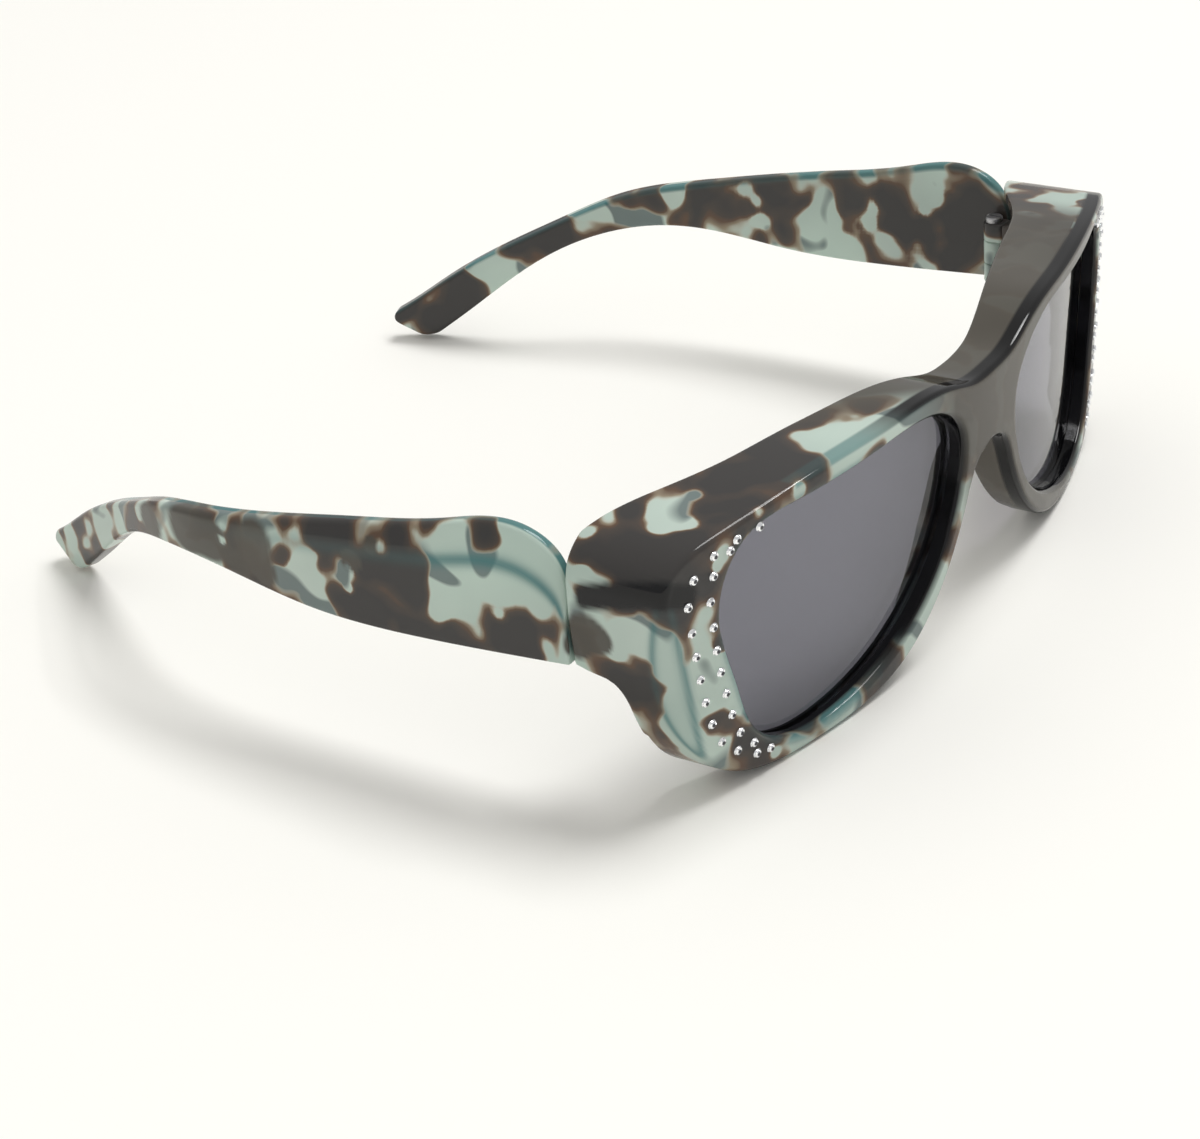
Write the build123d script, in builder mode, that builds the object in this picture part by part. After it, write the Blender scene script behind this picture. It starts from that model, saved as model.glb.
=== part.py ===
from build123d import *
from math import cos, radians, sin, sqrt, tan
import os

# Fitover sunglasses, standing open on their lower rims and temple tips.
# Millimetres. The front looks towards -Y, +Z is up, and the wearer's left is +X.
# The origin is under the middle of the open glasses, on the surface they stand on.

# Overall sizes of the open glasses
overall_width = 142.0
overall_depth = 144.0
brow_height = 42.0
overrun = 10.0
curve_points = 36

# Moulded front: a curved wall, a brow shelf over it and a side shield at each end
wrap_radius = 196.0
face_tilt = 2.4
tilt_height = 38.5
rim_depth = 5.0
shell_wall = 1.8
joint_depth = 28.3
ridge_radius = 0.9
edge_radius = 0.6

# Flat that bevels each front corner: a point on it and the way that it faces
corner_flat_width = 69.7
corner_flat_depth = 12.6
corner_flat_height = 32.0
corner_flat_turn = 37.6
corner_flat_lean = 7.1

# Lens openings, and the lenses held in their grooves
opening_width = 52.3
opening_height = 36.6
opening_inset = 8.7
opening_sill = 2.4
opening_bevel = 0.7
lens_recess = 2.7
lens_thickness = 1.7
groove_grip = 1.0
lens_clearance = 0.05

# Nose arch, and the wall that stands behind it and runs out under the lenses
nose_height = 26.9
nose_half_width = 14.2
nose_depth = 8.4
nose_reach = 17.9
nose_taper = 5.0
relief_height = 10.0

# Temples
joint_gap = 0.3
temple_wall = 3.2
temple_height = 39.2
temple_bevel = 2.0

# Hinges: two lugs and their boss on the front, a tongue on the temple, and a screw
hinge_inset = 5.4
hinge_setback = 2.0
knuckle_radius = 1.75
hinge_base = 21.0
lug_height = 3.2
tongue_height = 3.9
tongue_length = 3.4
knuckle_clearance = 0.1
boss_length = 7.0
boss_rib_length = 9.2
boss_rib_wall = 1.6
screw_radius = 0.8
screw_clearance = 0.05
screw_head_radius = 1.4
screw_head_height = 0.9
screw_tail = 0.3
slot_width = 0.4
slot_depth = 0.35

# Stones, each seated in a shallow pocket of the outer rim
stone_radius = 0.7
stone_height = 0.5
stone_girdle = 0.15
stone_table_share = 0.55
stone_sides = 8
seat_depth = 0.3
seat_clearance = 0.03
outer_row_count = 13
inner_row_count = 11

# Outline of the front, as shares of the half width and the brow height
brow_shares = [
    (0.0, 0.919), (0.085, 0.927), (0.165, 0.966), (0.24, 0.993), (0.40, 1.0), (0.56, 0.998), (0.73, 0.978),
    (0.845, 0.953), (0.905, 0.935), (0.950, 0.909), (0.982, 0.864), (0.996, 0.795),
]
side_shares = [
    (0.996, 0.66), (0.985, 0.48), (0.954, 0.29), (0.90, 0.14), (0.82, 0.045), (0.70, 0.002),
    (0.57, -0.002), (0.46, 0.008), (0.37, 0.043), (0.295, 0.103), (0.24, 0.172),
]
# Nose arch, as shares of its half width and height
arch_shares = [(0.78, 0.52), (0.6, 0.68), (0.46, 0.83), (0.32, 0.937), (0.17, 0.985), (0.0, 1.0)]
# Lens opening, as shares of its width and height from its inner lower corner
opening_shares = [
    (1.0, 0.78), (0.954, 0.372), (0.889, 0.13), (0.77, 0.016), (0.58, 0.0), (0.33, 0.095),
    (0.13, 0.295), (0.017, 0.574), (0.013, 0.814), (0.13, 0.96), (0.407, 1.0), (0.732, 0.99), (0.935, 0.935),
]
# Rear edge of the brow shelf, as shares of the half width and the joint's depth
shelf_shares = [
    (0.0, 0.269), (0.115, 0.29), (0.27, 0.378), (0.49, 0.535), (0.65, 0.65), (0.76, 0.79),
    (0.85, 0.92), (0.93, 1.0),
]
# Rear lower edge of the side shield, as shares of the joint's depth and the brow height
shield_shares = [
    (1.0, 0.488), (0.9, 0.476), (0.82, 0.458), (0.765, 0.41), (0.742, 0.33), (0.73, 0.23),
    (0.72, 0.10),
]
# Rear edge of the sill under the lens's outer corner, as shares of the half width and the joint's depth
sill_shares = [(0.70, 0.46), (0.79, 0.56), (0.87, 0.68), (1.0, 0.74)]
# Temple from the side, as shares of its length and height, from its upper front corner to its lower one
temple_side_shares = [
    (0.0, 0.80), (0.014, 0.915), (0.056, 0.995), (0.172, 0.955), (0.308, 0.878), (0.429, 0.812),
    (0.535, 0.755), (0.647, 0.681), (0.727, 0.58), (0.808, 0.465), (0.894, 0.316), (0.965, 0.17),
    (1.0, 0.108),
]
temple_keel_shares = [
    (0.935, 0.0), (0.862, 0.166), (0.793, 0.33), (0.729, 0.446), (0.616, 0.54), (0.505, 0.545),
    (0.374, 0.498), (0.202, 0.492), (0.101, 0.508), (0.0, 0.528),
]
# Temple's outer face seen from above, as shares of the half width and of its length
temple_plan_shares = [
    (0.997, -0.02), (1.0, 0.152), (1.0, 0.293), (0.994, 0.414), (0.977, 0.515), (0.937, 0.616),
    (0.866, 0.714), (0.789, 0.808), (0.721, 0.909), (0.655, 1.02),
]
# Rows of stones, as shares of the half width and the brow height
outer_row_shares = [
    (0.776, 0.912), (0.83, 0.907), (0.895, 0.880), (0.937, 0.82), (0.941, 0.70), (0.925, 0.52), (0.902, 0.32),
    (0.872, 0.2), (0.79, 0.093),
]
inner_row_shares = [
    (0.847, 0.879), (0.886, 0.82), (0.892, 0.69), (0.878, 0.5), (0.857, 0.34), (0.828, 0.2), (0.755, 0.083),
]

half_width = overall_width / 2
front_y = -overall_depth / 2
tilt_slope = tan(radians(face_tilt))
temple_start = joint_depth + joint_gap
temple_length = overall_depth - temple_start
hinge_x = half_width - hinge_inset
hinge_y = joint_depth + hinge_setback
tongue_base = hinge_base + lug_height + knuckle_clearance
upper_lug_base = tongue_base + tongue_height + knuckle_clearance
hinge_top = upper_lug_base + lug_height

# Working planes through the front of the bridge: from above, from the front, and from the left
above = Plane(origin=(0, front_y, 0), x_dir=(1, 0, 0), z_dir=(0, 0, 1))
facing = Plane(origin=(0, front_y, 0), x_dir=(1, 0, 0), z_dir=(0, -1, 0))
beside = Plane(origin=(0, front_y, 0), x_dir=(0, 1, 0), z_dir=(1, 0, 0))


def placed(shares, width, height, across=0.0, up=0.0):
    """Turn a table of shares into points."""
    return [(across + a * width, up + b * height) for a, b in shares]


def mirrored(points):
    """The same points on the other side, in reverse order."""
    return [(-x, z) for x, z in reversed(points)]


brow = placed(brow_shares, half_width, brow_height)
side = placed(side_shares, half_width, brow_height)
arch = placed(arch_shares, nose_half_width, nose_height)
opening = placed(opening_shares, opening_width, opening_height, opening_inset, opening_sill)


def beside_curve(curve, amount, count):
    """Points spaced along a curve, each moved to its left by an amount."""
    points = []
    for step in range(count):
        along = curve % (step / (count - 1))
        points.append(curve @ (step / (count - 1)) + Vector(-along.Y, along.X) * amount)
    return points


def wrap_curve(depth, x):
    """Setback of the curved wall at a depth behind its face and a distance from the middle."""
    return wrap_radius - sqrt((wrap_radius - depth) ** 2 - x**2)


def wrap_block(near, far=None):
    """Everything between two depths behind the front face, or all of it behind one depth."""
    below = (0, front_y + tilt_slope * (tilt_height + overrun), -overrun)
    reach = half_width + overrun
    near_edge = wrap_curve(near, reach)
    with BuildPart() as block:
        with BuildSketch(Plane(origin=below, x_dir=(1, 0, 0), z_dir=(0, -tilt_slope, 1))):
            with BuildLine():
                ThreePointArc((-reach, near_edge), (0, near), (reach, near_edge))
                if far is None:
                    Polyline((reach, near_edge), (reach, overall_depth), (-reach, overall_depth),
                             (-reach, near_edge))
                else:
                    far_edge = wrap_curve(far, reach)
                    Line((reach, near_edge), (reach, far_edge))
                    ThreePointArc((reach, far_edge), (0, far), (-reach, far_edge))
                    Line((-reach, far_edge), (-reach, near_edge))
            make_face()
        extrude(amount=brow_height + 2 * overrun)
    return block.part


def opening_block(grow, near, far=None):
    """Both lens openings, grown outwards and cut to a slice of the curved wall."""
    outline = Spline(*opening, periodic=True)
    with BuildPart() as block:
        with BuildSketch(facing.offset(overrun)):
            with BuildLine():
                if grow:
                    Spline(*beside_curve(outline, grow, curve_points)[:-1], periodic=True)
                else:
                    add(outline)
            make_face()
            mirror(about=Plane.YZ)
        extrude(amount=-(joint_depth + overrun))
        add(wrap_block(near, far), mode=Mode.INTERSECT)
    return block.part


def stone_places(hand):
    """Seats of one side's stones, spaced evenly along two rows and square to the front face."""
    places = []
    for shares, count in ((outer_row_shares, outer_row_count), (inner_row_shares, inner_row_count)):
        row = Spline(*placed(shares, half_width, brow_height))
        for step in range(count):
            spot = row @ (step / (count - 1))
            setback = wrap_curve(0, spot.X) + tilt_slope * (tilt_height - spot.Y)
            outward = Vector(hand * spot.X / (wrap_radius - wrap_curve(0, spot.X)), -1, -tilt_slope)
            places.append(Location(Plane((hand * spot.X, front_y + setback, spot.Y), z_dir=outward)))
    return places


# Outline of the whole front, clockwise: along the brow, then round under the lenses and the nose arch
brow_edge = Spline(*mirrored(brow), *brow[1:])
lower_edge = Spline(brow[-1], *side, *arch, *mirrored(arch)[1:], *mirrored(side), mirrored(brow)[0])

# Space inside the shell, open at the back and along the bottom
with BuildPart() as hollow:
    inner = beside_curve(brow_edge, -shell_wall, curve_points)[1:-1]
    inner += beside_curve(lower_edge, -shell_wall, 2 * curve_points)[1:-1]
    with BuildSketch(facing):
        with BuildLine():
            Spline(*inner, periodic=True)
        make_face()
    extrude(amount=-(joint_depth + overrun))
    # Under the lenses the wall ends at the rim, except for a sill that grows towards each shield
    sill = placed(sill_shares, half_width, joint_depth)
    with BuildSketch(above.offset(-overrun)):
        with BuildLine():
            Spline(*sill)
            Polyline(sill[-1], (sill[-1][0], joint_depth + overrun), (0, joint_depth + overrun),
                     (0, nose_depth), (nose_reach, nose_depth), (nose_reach + nose_taper, rim_depth),
                     (nose_reach + nose_taper, 0), (sill[0][0], 0), sill[0])
        make_face()
        mirror(about=Plane.YZ)
    extrude(amount=overrun + relief_height)
    # The nose arch's wall ends at the same depth higher up
    with BuildSketch(facing.offset(-nose_depth)):
        nose_top = overrun + nose_height + shell_wall + edge_radius
        Rectangle(2 * nose_reach, nose_top, align=(Align.CENTER, Align.MIN))
    extrude(amount=-(joint_depth + overrun))
    add(wrap_block(rim_depth), mode=Mode.INTERSECT)

with BuildPart() as front_frame:
    with BuildSketch(facing.offset(overrun)):
        with BuildLine():
            add(brow_edge)
            add(lower_edge)
        make_face()
    extrude(amount=-(joint_depth + overrun))
    add(wrap_block(0), mode=Mode.INTERSECT)
    fillet(front_frame.faces().sort_by(Axis.Y)[0].edges(), ridge_radius)
    # Lens openings with bevelled front edges
    add(opening_block(0, -overrun), mode=Mode.SUBTRACT)
    rims = front_frame.edges().filter_by(lambda edge: edge.is_closed and edge.length > opening_width)
    chamfer(rims.sort_by(Axis.Y)[:2], opening_bevel)
    # Bevelled front corners
    for hand in (1, -1):
        turn = radians(corner_flat_turn)
        outward = Vector(hand * cos(turn), -sin(turn), -sin(radians(corner_flat_lean))).normalized()
        corner = (hand * corner_flat_width, front_y + corner_flat_depth, corner_flat_height)
        with BuildSketch(Plane(origin=corner, z_dir=outward)):
            Rectangle(2 * brow_height, 2 * brow_height)
        extrude(amount=overrun, mode=Mode.SUBTRACT)
        flat = front_frame.faces().filter_by(Plane(origin=corner, z_dir=outward))
        fillet(flat.edges(), edge_radius)
    add(hollow.part, mode=Mode.SUBTRACT)
    # A groove for each lens
    groove_near = lens_recess - lens_clearance
    groove_far = lens_recess + lens_thickness + lens_clearance
    add(opening_block(groove_grip, groove_near, groove_far), mode=Mode.SUBTRACT)
    # Rear edge of the brow shelf
    shelf = placed(shelf_shares, half_width, joint_depth)
    with BuildSketch(above.offset(-overrun)):
        with BuildLine():
            Spline(*mirrored(shelf)[:-1], *shelf)
            Polyline(shelf[-1], (shelf[-1][0], joint_depth + overrun), (-shelf[-1][0], joint_depth + overrun),
                     (-shelf[-1][0], shelf[-1][1]))
        make_face()
    extrude(amount=brow_height + 2 * overrun, mode=Mode.SUBTRACT)
    # Rear lower edge of the side shields
    shield = placed(shield_shares, joint_depth, brow_height)
    with BuildSketch(beside.offset(-half_width - overrun)):
        with BuildLine():
            Spline(*shield)
            Polyline(shield[-1], (shield[-1][0], -overrun), (joint_depth + overrun, -overrun),
                     (joint_depth + overrun, shield[0][1]), shield[0])
        make_face()
    extrude(amount=overall_width + 2 * overrun, mode=Mode.SUBTRACT)
    # Hinge boss, its thin front rib and the two lugs
    boss_outside = half_width - shell_wall / 2
    boss_inside = hinge_x - knuckle_radius
    for hand in (1, -1):
        with BuildSketch(above.offset(hinge_base)):
            with Locations((hand * (boss_outside + boss_inside) / 2, joint_depth)):
                Rectangle(boss_outside - boss_inside, boss_length, align=(Align.CENTER, Align.MAX))
            with Locations((hand * (boss_outside - (boss_rib_wall + shell_wall) / 2), joint_depth)):
                Rectangle(boss_rib_wall + shell_wall, boss_rib_length, align=(Align.CENTER, Align.MAX))
        extrude(amount=hinge_top - hinge_base)
        for base in (hinge_base, upper_lug_base):
            with BuildSketch(above.offset(base)):
                with Locations((hand * hinge_x, hinge_y)):
                    Circle(knuckle_radius)
                    Rectangle(2 * knuckle_radius, 2 * hinge_setback, align=(Align.CENTER, Align.MAX))
            extrude(amount=lug_height)
        with BuildSketch(above.offset(hinge_base)):
            with Locations((hand * hinge_x, hinge_y)):
                Circle(screw_radius + screw_clearance)
        extrude(amount=hinge_top - hinge_base, mode=Mode.SUBTRACT)
    # Pockets for the stones
    with Locations(*stone_places(1), *stone_places(-1)):
        Cylinder(stone_radius + seat_clearance, 2 * seat_depth, mode=Mode.SUBTRACT)
    # Flat feet under the rims
    with BuildSketch(above):
        Rectangle(overall_width, overall_depth, align=(Align.CENTER, Align.MIN))
    extrude(amount=-overrun, mode=Mode.SUBTRACT)

with BuildPart() as lens_left:
    add(opening_block(groove_grip - lens_clearance, lens_recess, lens_recess + lens_thickness))
    split(bisect_by=Plane.YZ, keep=Keep.TOP)

with BuildPart() as lens_right:
    mirror(lens_left.part, about=Plane.YZ)

with BuildPart() as temple_left:
    top = placed(temple_side_shares, temple_length, temple_height, temple_start)
    keel = placed(temple_keel_shares, temple_length, temple_height, temple_start)
    with BuildSketch(beside):
        with BuildLine():
            Spline(*top)
            Line(top[-1], keel[0])
            Spline(*keel)
            Line(keel[-1], top[0])
        make_face()
    extrude(amount=half_width + overrun)
    plan = placed(temple_plan_shares, half_width, temple_length, 0, temple_start)
    with BuildSketch(above.offset(-overrun)):
        with BuildLine():
            outside = Spline(*plan)
            inside = Spline(*beside_curve(outside, temple_wall, curve_points))
            Line(outside @ 0, inside @ 0)
            Line(outside @ 1, inside @ 1)
        make_face()
    extrude(amount=brow_height + 2 * overrun, mode=Mode.INTERSECT)
    # Broad bevel along the outer top edge
    long_edges = temple_left.edges().filter_by(lambda edge: edge.length > temple_length / 2)
    upper = long_edges.sort_by(Axis.Z)[-2:].sort_by(Axis.X)
    chamfer(upper[-1], temple_bevel)
    # Hinge tongue, bored for the screw
    with BuildSketch(above.offset(tongue_base)):
        with Locations((hinge_x, hinge_y)):
            Circle(knuckle_radius)
            Rectangle(hinge_inset - temple_wall / 2, tongue_length, align=(Align.MIN, Align.CENTER))
    extrude(amount=tongue_height)
    with BuildSketch(above.offset(tongue_base)):
        with Locations((hinge_x, hinge_y)):
            Circle(screw_radius + screw_clearance)
    extrude(amount=tongue_height, mode=Mode.SUBTRACT)

with BuildPart() as temple_right:
    mirror(temple_left.part, about=Plane.YZ)

with BuildPart() as hinge_screw_left:
    with BuildSketch(above.offset(hinge_base + screw_tail)):
        with Locations((hinge_x, hinge_y)):
            Circle(screw_radius)
    extrude(amount=hinge_top - hinge_base - screw_tail)
    with BuildSketch(above.offset(hinge_top)):
        with Locations((hinge_x, hinge_y)):
            Circle(screw_head_radius)
    extrude(amount=screw_head_height)
    with BuildSketch(above.offset(hinge_top + screw_head_height)):
        with Locations((hinge_x, hinge_y)):
            Rectangle(slot_width, 2 * screw_head_radius)
    extrude(amount=-slot_depth, mode=Mode.SUBTRACT)

with BuildPart() as hinge_screw_right:
    mirror(hinge_screw_left.part, about=Plane.YZ)

with BuildPart() as stone:
    with BuildSketch(Plane.XY.offset(-seat_depth)):
        RegularPolygon(stone_radius, stone_sides)
    extrude(amount=seat_depth + stone_girdle)
    with BuildSketch(Plane.XY.offset(stone_girdle)):
        RegularPolygon(stone_radius, stone_sides)
    with BuildSketch(Plane.XY.offset(stone_height)):
        RegularPolygon(stone_radius * stone_table_share, stone_sides)
    loft()

with BuildPart() as rhinestones_left:
    with Locations(*stone_places(1)):
        add(stone.part)

with BuildPart() as rhinestones_right:
    with Locations(*stone_places(-1)):
        add(stone.part)

os.makedirs("parts", exist_ok=True)
pieces = {
    "front_frame": front_frame,
    "lens_left": lens_left,
    "lens_right": lens_right,
    "temple_left": temple_left,
    "temple_right": temple_right,
    "hinge_screw_left": hinge_screw_left,
    "hinge_screw_right": hinge_screw_right,
    "rhinestones_left": rhinestones_left,
    "rhinestones_right": rhinestones_right,
}
for name, piece in pieces.items():
    piece.part.label = name
    export_step(piece.part, f"parts/{name}.step")
    print(name, len(piece.solids()), piece.part.is_valid, round(piece.part.volume, 1))
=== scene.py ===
# %% [markdown]
# Fitover sunglasses: a deep moulded front that is worn over other glasses, two broad temples that
# fold on slotted screws, two smoke lenses and 48 crystals. The CAD frame gives the construction.
# This lesson gives it its finish: every large surface is worked out with numpy from the same few
# sizes as the CAD model, in millimetres, and only the last step turns millimetres into metres.

# %% The frame
import bmesh
import bpy
import numpy as np
from mathutils import Matrix, Vector
from mathutils.bvhtree import BVHTree


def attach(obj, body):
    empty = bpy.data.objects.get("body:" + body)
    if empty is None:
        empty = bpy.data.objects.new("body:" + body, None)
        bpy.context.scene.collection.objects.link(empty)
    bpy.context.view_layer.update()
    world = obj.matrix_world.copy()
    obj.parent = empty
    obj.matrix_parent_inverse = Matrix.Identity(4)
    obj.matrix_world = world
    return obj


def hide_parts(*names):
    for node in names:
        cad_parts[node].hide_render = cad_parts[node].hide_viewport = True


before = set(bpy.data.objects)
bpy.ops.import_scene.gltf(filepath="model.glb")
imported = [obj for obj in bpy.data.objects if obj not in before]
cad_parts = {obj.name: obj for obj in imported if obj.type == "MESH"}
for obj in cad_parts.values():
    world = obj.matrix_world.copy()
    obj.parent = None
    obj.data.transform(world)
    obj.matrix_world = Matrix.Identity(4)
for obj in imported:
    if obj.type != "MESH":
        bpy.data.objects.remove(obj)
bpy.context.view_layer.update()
mm = 0.001
print("nodes of the frame:", sorted(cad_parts))

# %% [markdown]
# A pair that fits over other glasses is large: this one is 142 mm wide, 144 mm deep with its
# temples open, and 42 mm high. The boxes of the frame would give these three, but not the radii,
# the lean and the walls behind them. So the driving sizes are named here, as in the CAD model, and
# the others are worked out from them.

# %% Driving sizes
overall_width = 142.0
overall_depth = 144.0
brow_height = 42.0
wrap_radius = 196.0
lean_degrees, tilt_height = 2.4, 38.5
rim_depth = 5.0
shell_wall = 1.8
joint_depth, joint_gap = 28.3, 0.3
half_width = overall_width / 2
front_y = -overall_depth / 2
tilt_slope = np.tan(np.radians(lean_degrees))
temple_start = joint_depth + joint_gap
temple_length = overall_depth - temple_start
print("front", overall_width, "by", brow_height, "mm, temples", round(temple_length, 1), "mm long")

# %% [markdown]
# Seen from the front, the outline is a high brow, a side that draws in downwards, a low rim, and
# the nose arch. It could be kept as long lists of millimetres. A few shares of a width and a
# height are shorter to read, and they follow when a size above is changed.

# %% Outlines as shares
brow_shares = [
    (0.0, 0.919), (0.085, 0.927), (0.165, 0.966), (0.24, 0.993), (0.40, 1.0), (0.56, 0.998), (0.73, 0.978),
    (0.845, 0.953), (0.905, 0.935), (0.950, 0.909), (0.982, 0.864), (0.996, 0.795),
]
side_shares = [
    (0.996, 0.66), (0.985, 0.48), (0.954, 0.29), (0.90, 0.14), (0.82, 0.045), (0.70, 0.002),
    (0.57, -0.002), (0.46, 0.008), (0.37, 0.043), (0.295, 0.103), (0.24, 0.172),
]
arch_shares = [(0.78, 0.52), (0.6, 0.68), (0.46, 0.83), (0.32, 0.937), (0.17, 0.985), (0.0, 1.0)]
opening_shares = [
    (1.0, 0.78), (0.954, 0.372), (0.889, 0.13), (0.77, 0.016), (0.58, 0.0), (0.33, 0.095), (0.13, 0.295),
    (0.017, 0.574), (0.013, 0.814), (0.13, 0.96), (0.407, 1.0), (0.732, 0.99), (0.935, 0.935),
]
print("points in half of the outline:", len(brow_shares) + len(side_shares) + len(arch_shares))

# %% Outlines in millimetres
nose_half_width, nose_height = 14.2, 26.9
opening_width, opening_height = 52.3, 36.6
opening_inset, opening_sill = 8.7, 2.4


def placed(shares, width, height, across=0.0, up=0.0):
    """Points in millimetres: share times size, plus a place."""
    return np.array(shares) * (width, height) + (across, up)


def mirrored(points):
    """The same points on the other side of x = 0, in reverse order."""
    return points[::-1] * (-1, 1)


brow = placed(brow_shares, half_width, brow_height)
side = placed(side_shares, half_width, brow_height)
arch = placed(arch_shares, nose_half_width, nose_height)
opening = placed(opening_shares, opening_width, opening_height, opening_inset, opening_sill)
print("brow spans", np.ptp(brow[:, 0]) * 2, "mm")

# %% [markdown]
# A moulded outline has no sudden change in its curvature. Straight steps or joined arcs would show
# in the reflections of a glossy front. A cubic spline with continuous second derivatives doesn't:
# its bend at each point is the answer of one small linear system.


# %% Bends of a smooth curve
def bends(points, closed):
    """Second derivatives of the cubic spline through points, knots spaced by chord length.

    Inside, h0 m0 + 2 (h0 + h1) m1 + h1 m2 = 6 (slope after - slope before). An open end has
    no bend, and a closed curve has the same bend and slope where it meets itself.
    """
    spans = np.linalg.norm(np.diff(points, axis=0), axis=1)
    slopes = np.diff(points, axis=0) / spans[:, None]
    count = len(points)
    inner = np.arange(1, count - 1)
    system = np.zeros((count, count))
    system[inner, inner - 1] = spans[:-1]
    system[inner, inner] = 2 * (spans[:-1] + spans[1:])
    system[inner, inner + 1] = spans[1:]
    answer = np.zeros_like(points)
    answer[1:-1] = 6 * np.diff(slopes, axis=0)
    system[0, 0] = 1
    if closed:
        system[0, -1] = -1
        system[-1, [0, 1, -2]] = 2 * (spans[0] + spans[-1]), spans[0], spans[-1]
        answer[-1] = 6 * (slopes[0] - slopes[-1])
    else:
        system[-1, -1] = 1
    return spans, np.linalg.solve(system, answer)


print("bend at the brow's ends:", bends(brow, False)[1][[0, -1]].tolist())


# %% Points of a smooth curve
def curve_at(points, shares, closed=False):
    """Points of the spline at shares of its chord length.

    Between two knots, with a and b the shares before and after the place: a P0 + b P1 +
    ((a^3 - a) m0 + (b^3 - b) m1) h^2 / 6.
    """
    points = np.vstack([points, points[:1]]) if closed else np.asarray(points, float)
    spans, bend = bends(points, closed)
    knots = np.concatenate([[0], np.cumsum(spans)])
    place = np.clip(shares, 0, 1) * knots[-1]
    left = np.clip(np.searchsorted(knots, place, "right") - 1, 0, len(spans) - 1)
    span = spans[left][:, None]
    after = (place - knots[left])[:, None] / span
    before = 1 - after
    straight = before * points[left] + after * points[left + 1]
    curved = (before**3 - before) * bend[left] + (after**3 - after) * bend[left + 1]
    return straight + curved * span**2 / 6


print("middle of the brow's curve:", curve_at(brow, [0.5])[0].round(1))

# %% [markdown]
# A rim has the same wall everywhere, so its inside is the outline moved square to itself. That
# needs the direction to the left of a path. How far along it each point lies spaces points
# evenly, and a soft step blends one stretch into the next.


# %% Directions, distances and soft steps
def left_normals(points, closed=False):
    """Unit vectors to the left of a path, (-dy, dx), from the difference of each point's neighbours."""
    if closed:
        along = np.roll(points, -1, axis=0) - np.roll(points, 1, axis=0)
    else:
        along = np.gradient(points, axis=0)
    left = np.stack([-along[:, 1], along[:, 0]], axis=1)
    return left / np.linalg.norm(left, axis=1)[:, None]


def arc_shares(points):
    """How far along a path each point lies, as the sum of the steps before it over the sum of all."""
    steps = np.linalg.norm(np.diff(points, axis=0), axis=1)
    return np.concatenate([[0], np.cumsum(steps)]) / steps.sum()


def smoothstep(low, high, value):
    """0 below low, 1 above high, and t t (3 - 2 t) between them."""
    ramp = np.clip((value - low) / (high - low), 0, 1)
    return ramp * ramp * (3 - 2 * ramp)


print("the side starts facing", left_normals(side)[0].round(2))

# %% [markdown]
# Every surface here is a grid of points: one direction runs along the piece, and the other one
# round its section. Blender's own primitives would need many modifiers to come near it. With
# whole arrays, one helper counts the corners of the quads and another one makes the piece.


# %% From a grid to quads
def grid_faces(rows, columns, close_rows=False, close_columns=False):
    """Corner numbers of the quads of a grid: row times columns, plus column."""
    row = np.arange(rows if close_rows else rows - 1)
    column = np.arange(columns if close_columns else columns - 1)
    row, column = [part.ravel() for part in np.meshgrid(row, column, indexing="ij")]
    next_row, next_column = (row + 1) % rows, (column + 1) % columns
    corners = [(row, column), (next_row, column), (next_row, next_column), (row, next_column)]
    return np.stack([r * columns + c for r, c in corners], axis=1)


print("a grid of 2 by 3 points:", grid_faces(2, 3).tolist())

# %% From quads to a piece
merge_gap = 0.002
soft_degrees = 40.0


def corner_numbers(mesh, label):
    """One whole number for each corner of each face, such as its edge or its point."""
    numbers = np.empty(len(mesh.loops), np.int32)
    mesh.loops.foreach_get(label, numbers)
    return numbers


def make_piece(name, parts, body, nodes, sharp=soft_degrees):
    """One mesh out of parts, each of them points in mm, quads and end caps, riding on a body.

    Each part's corner numbers are raised by the points before it, and a point that no face uses is
    left out. Points nearer than the merge gap become one, faces turn outwards, and edges that bend
    by more than sharp degrees stay hard.
    """
    starts = np.cumsum([0] + [len(part[0]) for part in parts])
    points = np.concatenate([part[0] for part in parts]) * mm
    quads = np.concatenate([part[1] + start for part, start in zip(parts, starts)])
    caps = [cap + start for part, start in zip(parts, starts) for cap in part[2]]
    used = np.bincount(np.concatenate([quads.ravel(), *caps]), minlength=len(points)) > 0
    numbers = np.cumsum(used) - 1
    faces = numbers[quads].tolist() + [numbers[cap].tolist() for cap in caps]
    mesh = bpy.data.meshes.new(name)
    mesh.from_pydata(points[used].tolist(), [], faces)
    work = bmesh.new()
    work.from_mesh(mesh)
    bmesh.ops.remove_doubles(work, verts=work.verts, dist=merge_gap * mm)
    bmesh.ops.dissolve_degenerate(work, edges=work.edges, dist=merge_gap * mm)
    bmesh.ops.recalc_face_normals(work, faces=work.faces)
    work.to_mesh(mesh)
    work.free()
    mesh.shade_smooth()
    mesh.set_sharp_from_angle(angle=np.radians(sharp))
    piece = bpy.data.objects.new(name, mesh)
    bpy.context.scene.collection.objects.link(piece)
    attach(piece, body)
    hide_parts(*nodes)
    edge_uses = np.bincount(corner_numbers(mesh, "edge_index"), minlength=len(mesh.edges))
    point_uses = np.bincount(corner_numbers(mesh, "vertex_index"), minlength=len(mesh.vertices))
    print(name, len(mesh.vertices), "points,", len(mesh.polygons), "faces,",
          np.count_nonzero(edge_uses != 2), "open edges,", np.count_nonzero(point_uses == 0), "loose points")


print("points nearer than", merge_gap, "mm become one")

# %% [markdown]
# The front is one curved wall with two openings. Behind its outline a skirt runs back: deep over
# the brow and at the sides, shallow round the nose, and none under the lenses. It could be a block
# with its inside cut out, but then its edges would be hard. Here a section across the rim is one
# closed loop, and the front is that loop carried round a lens opening.


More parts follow.
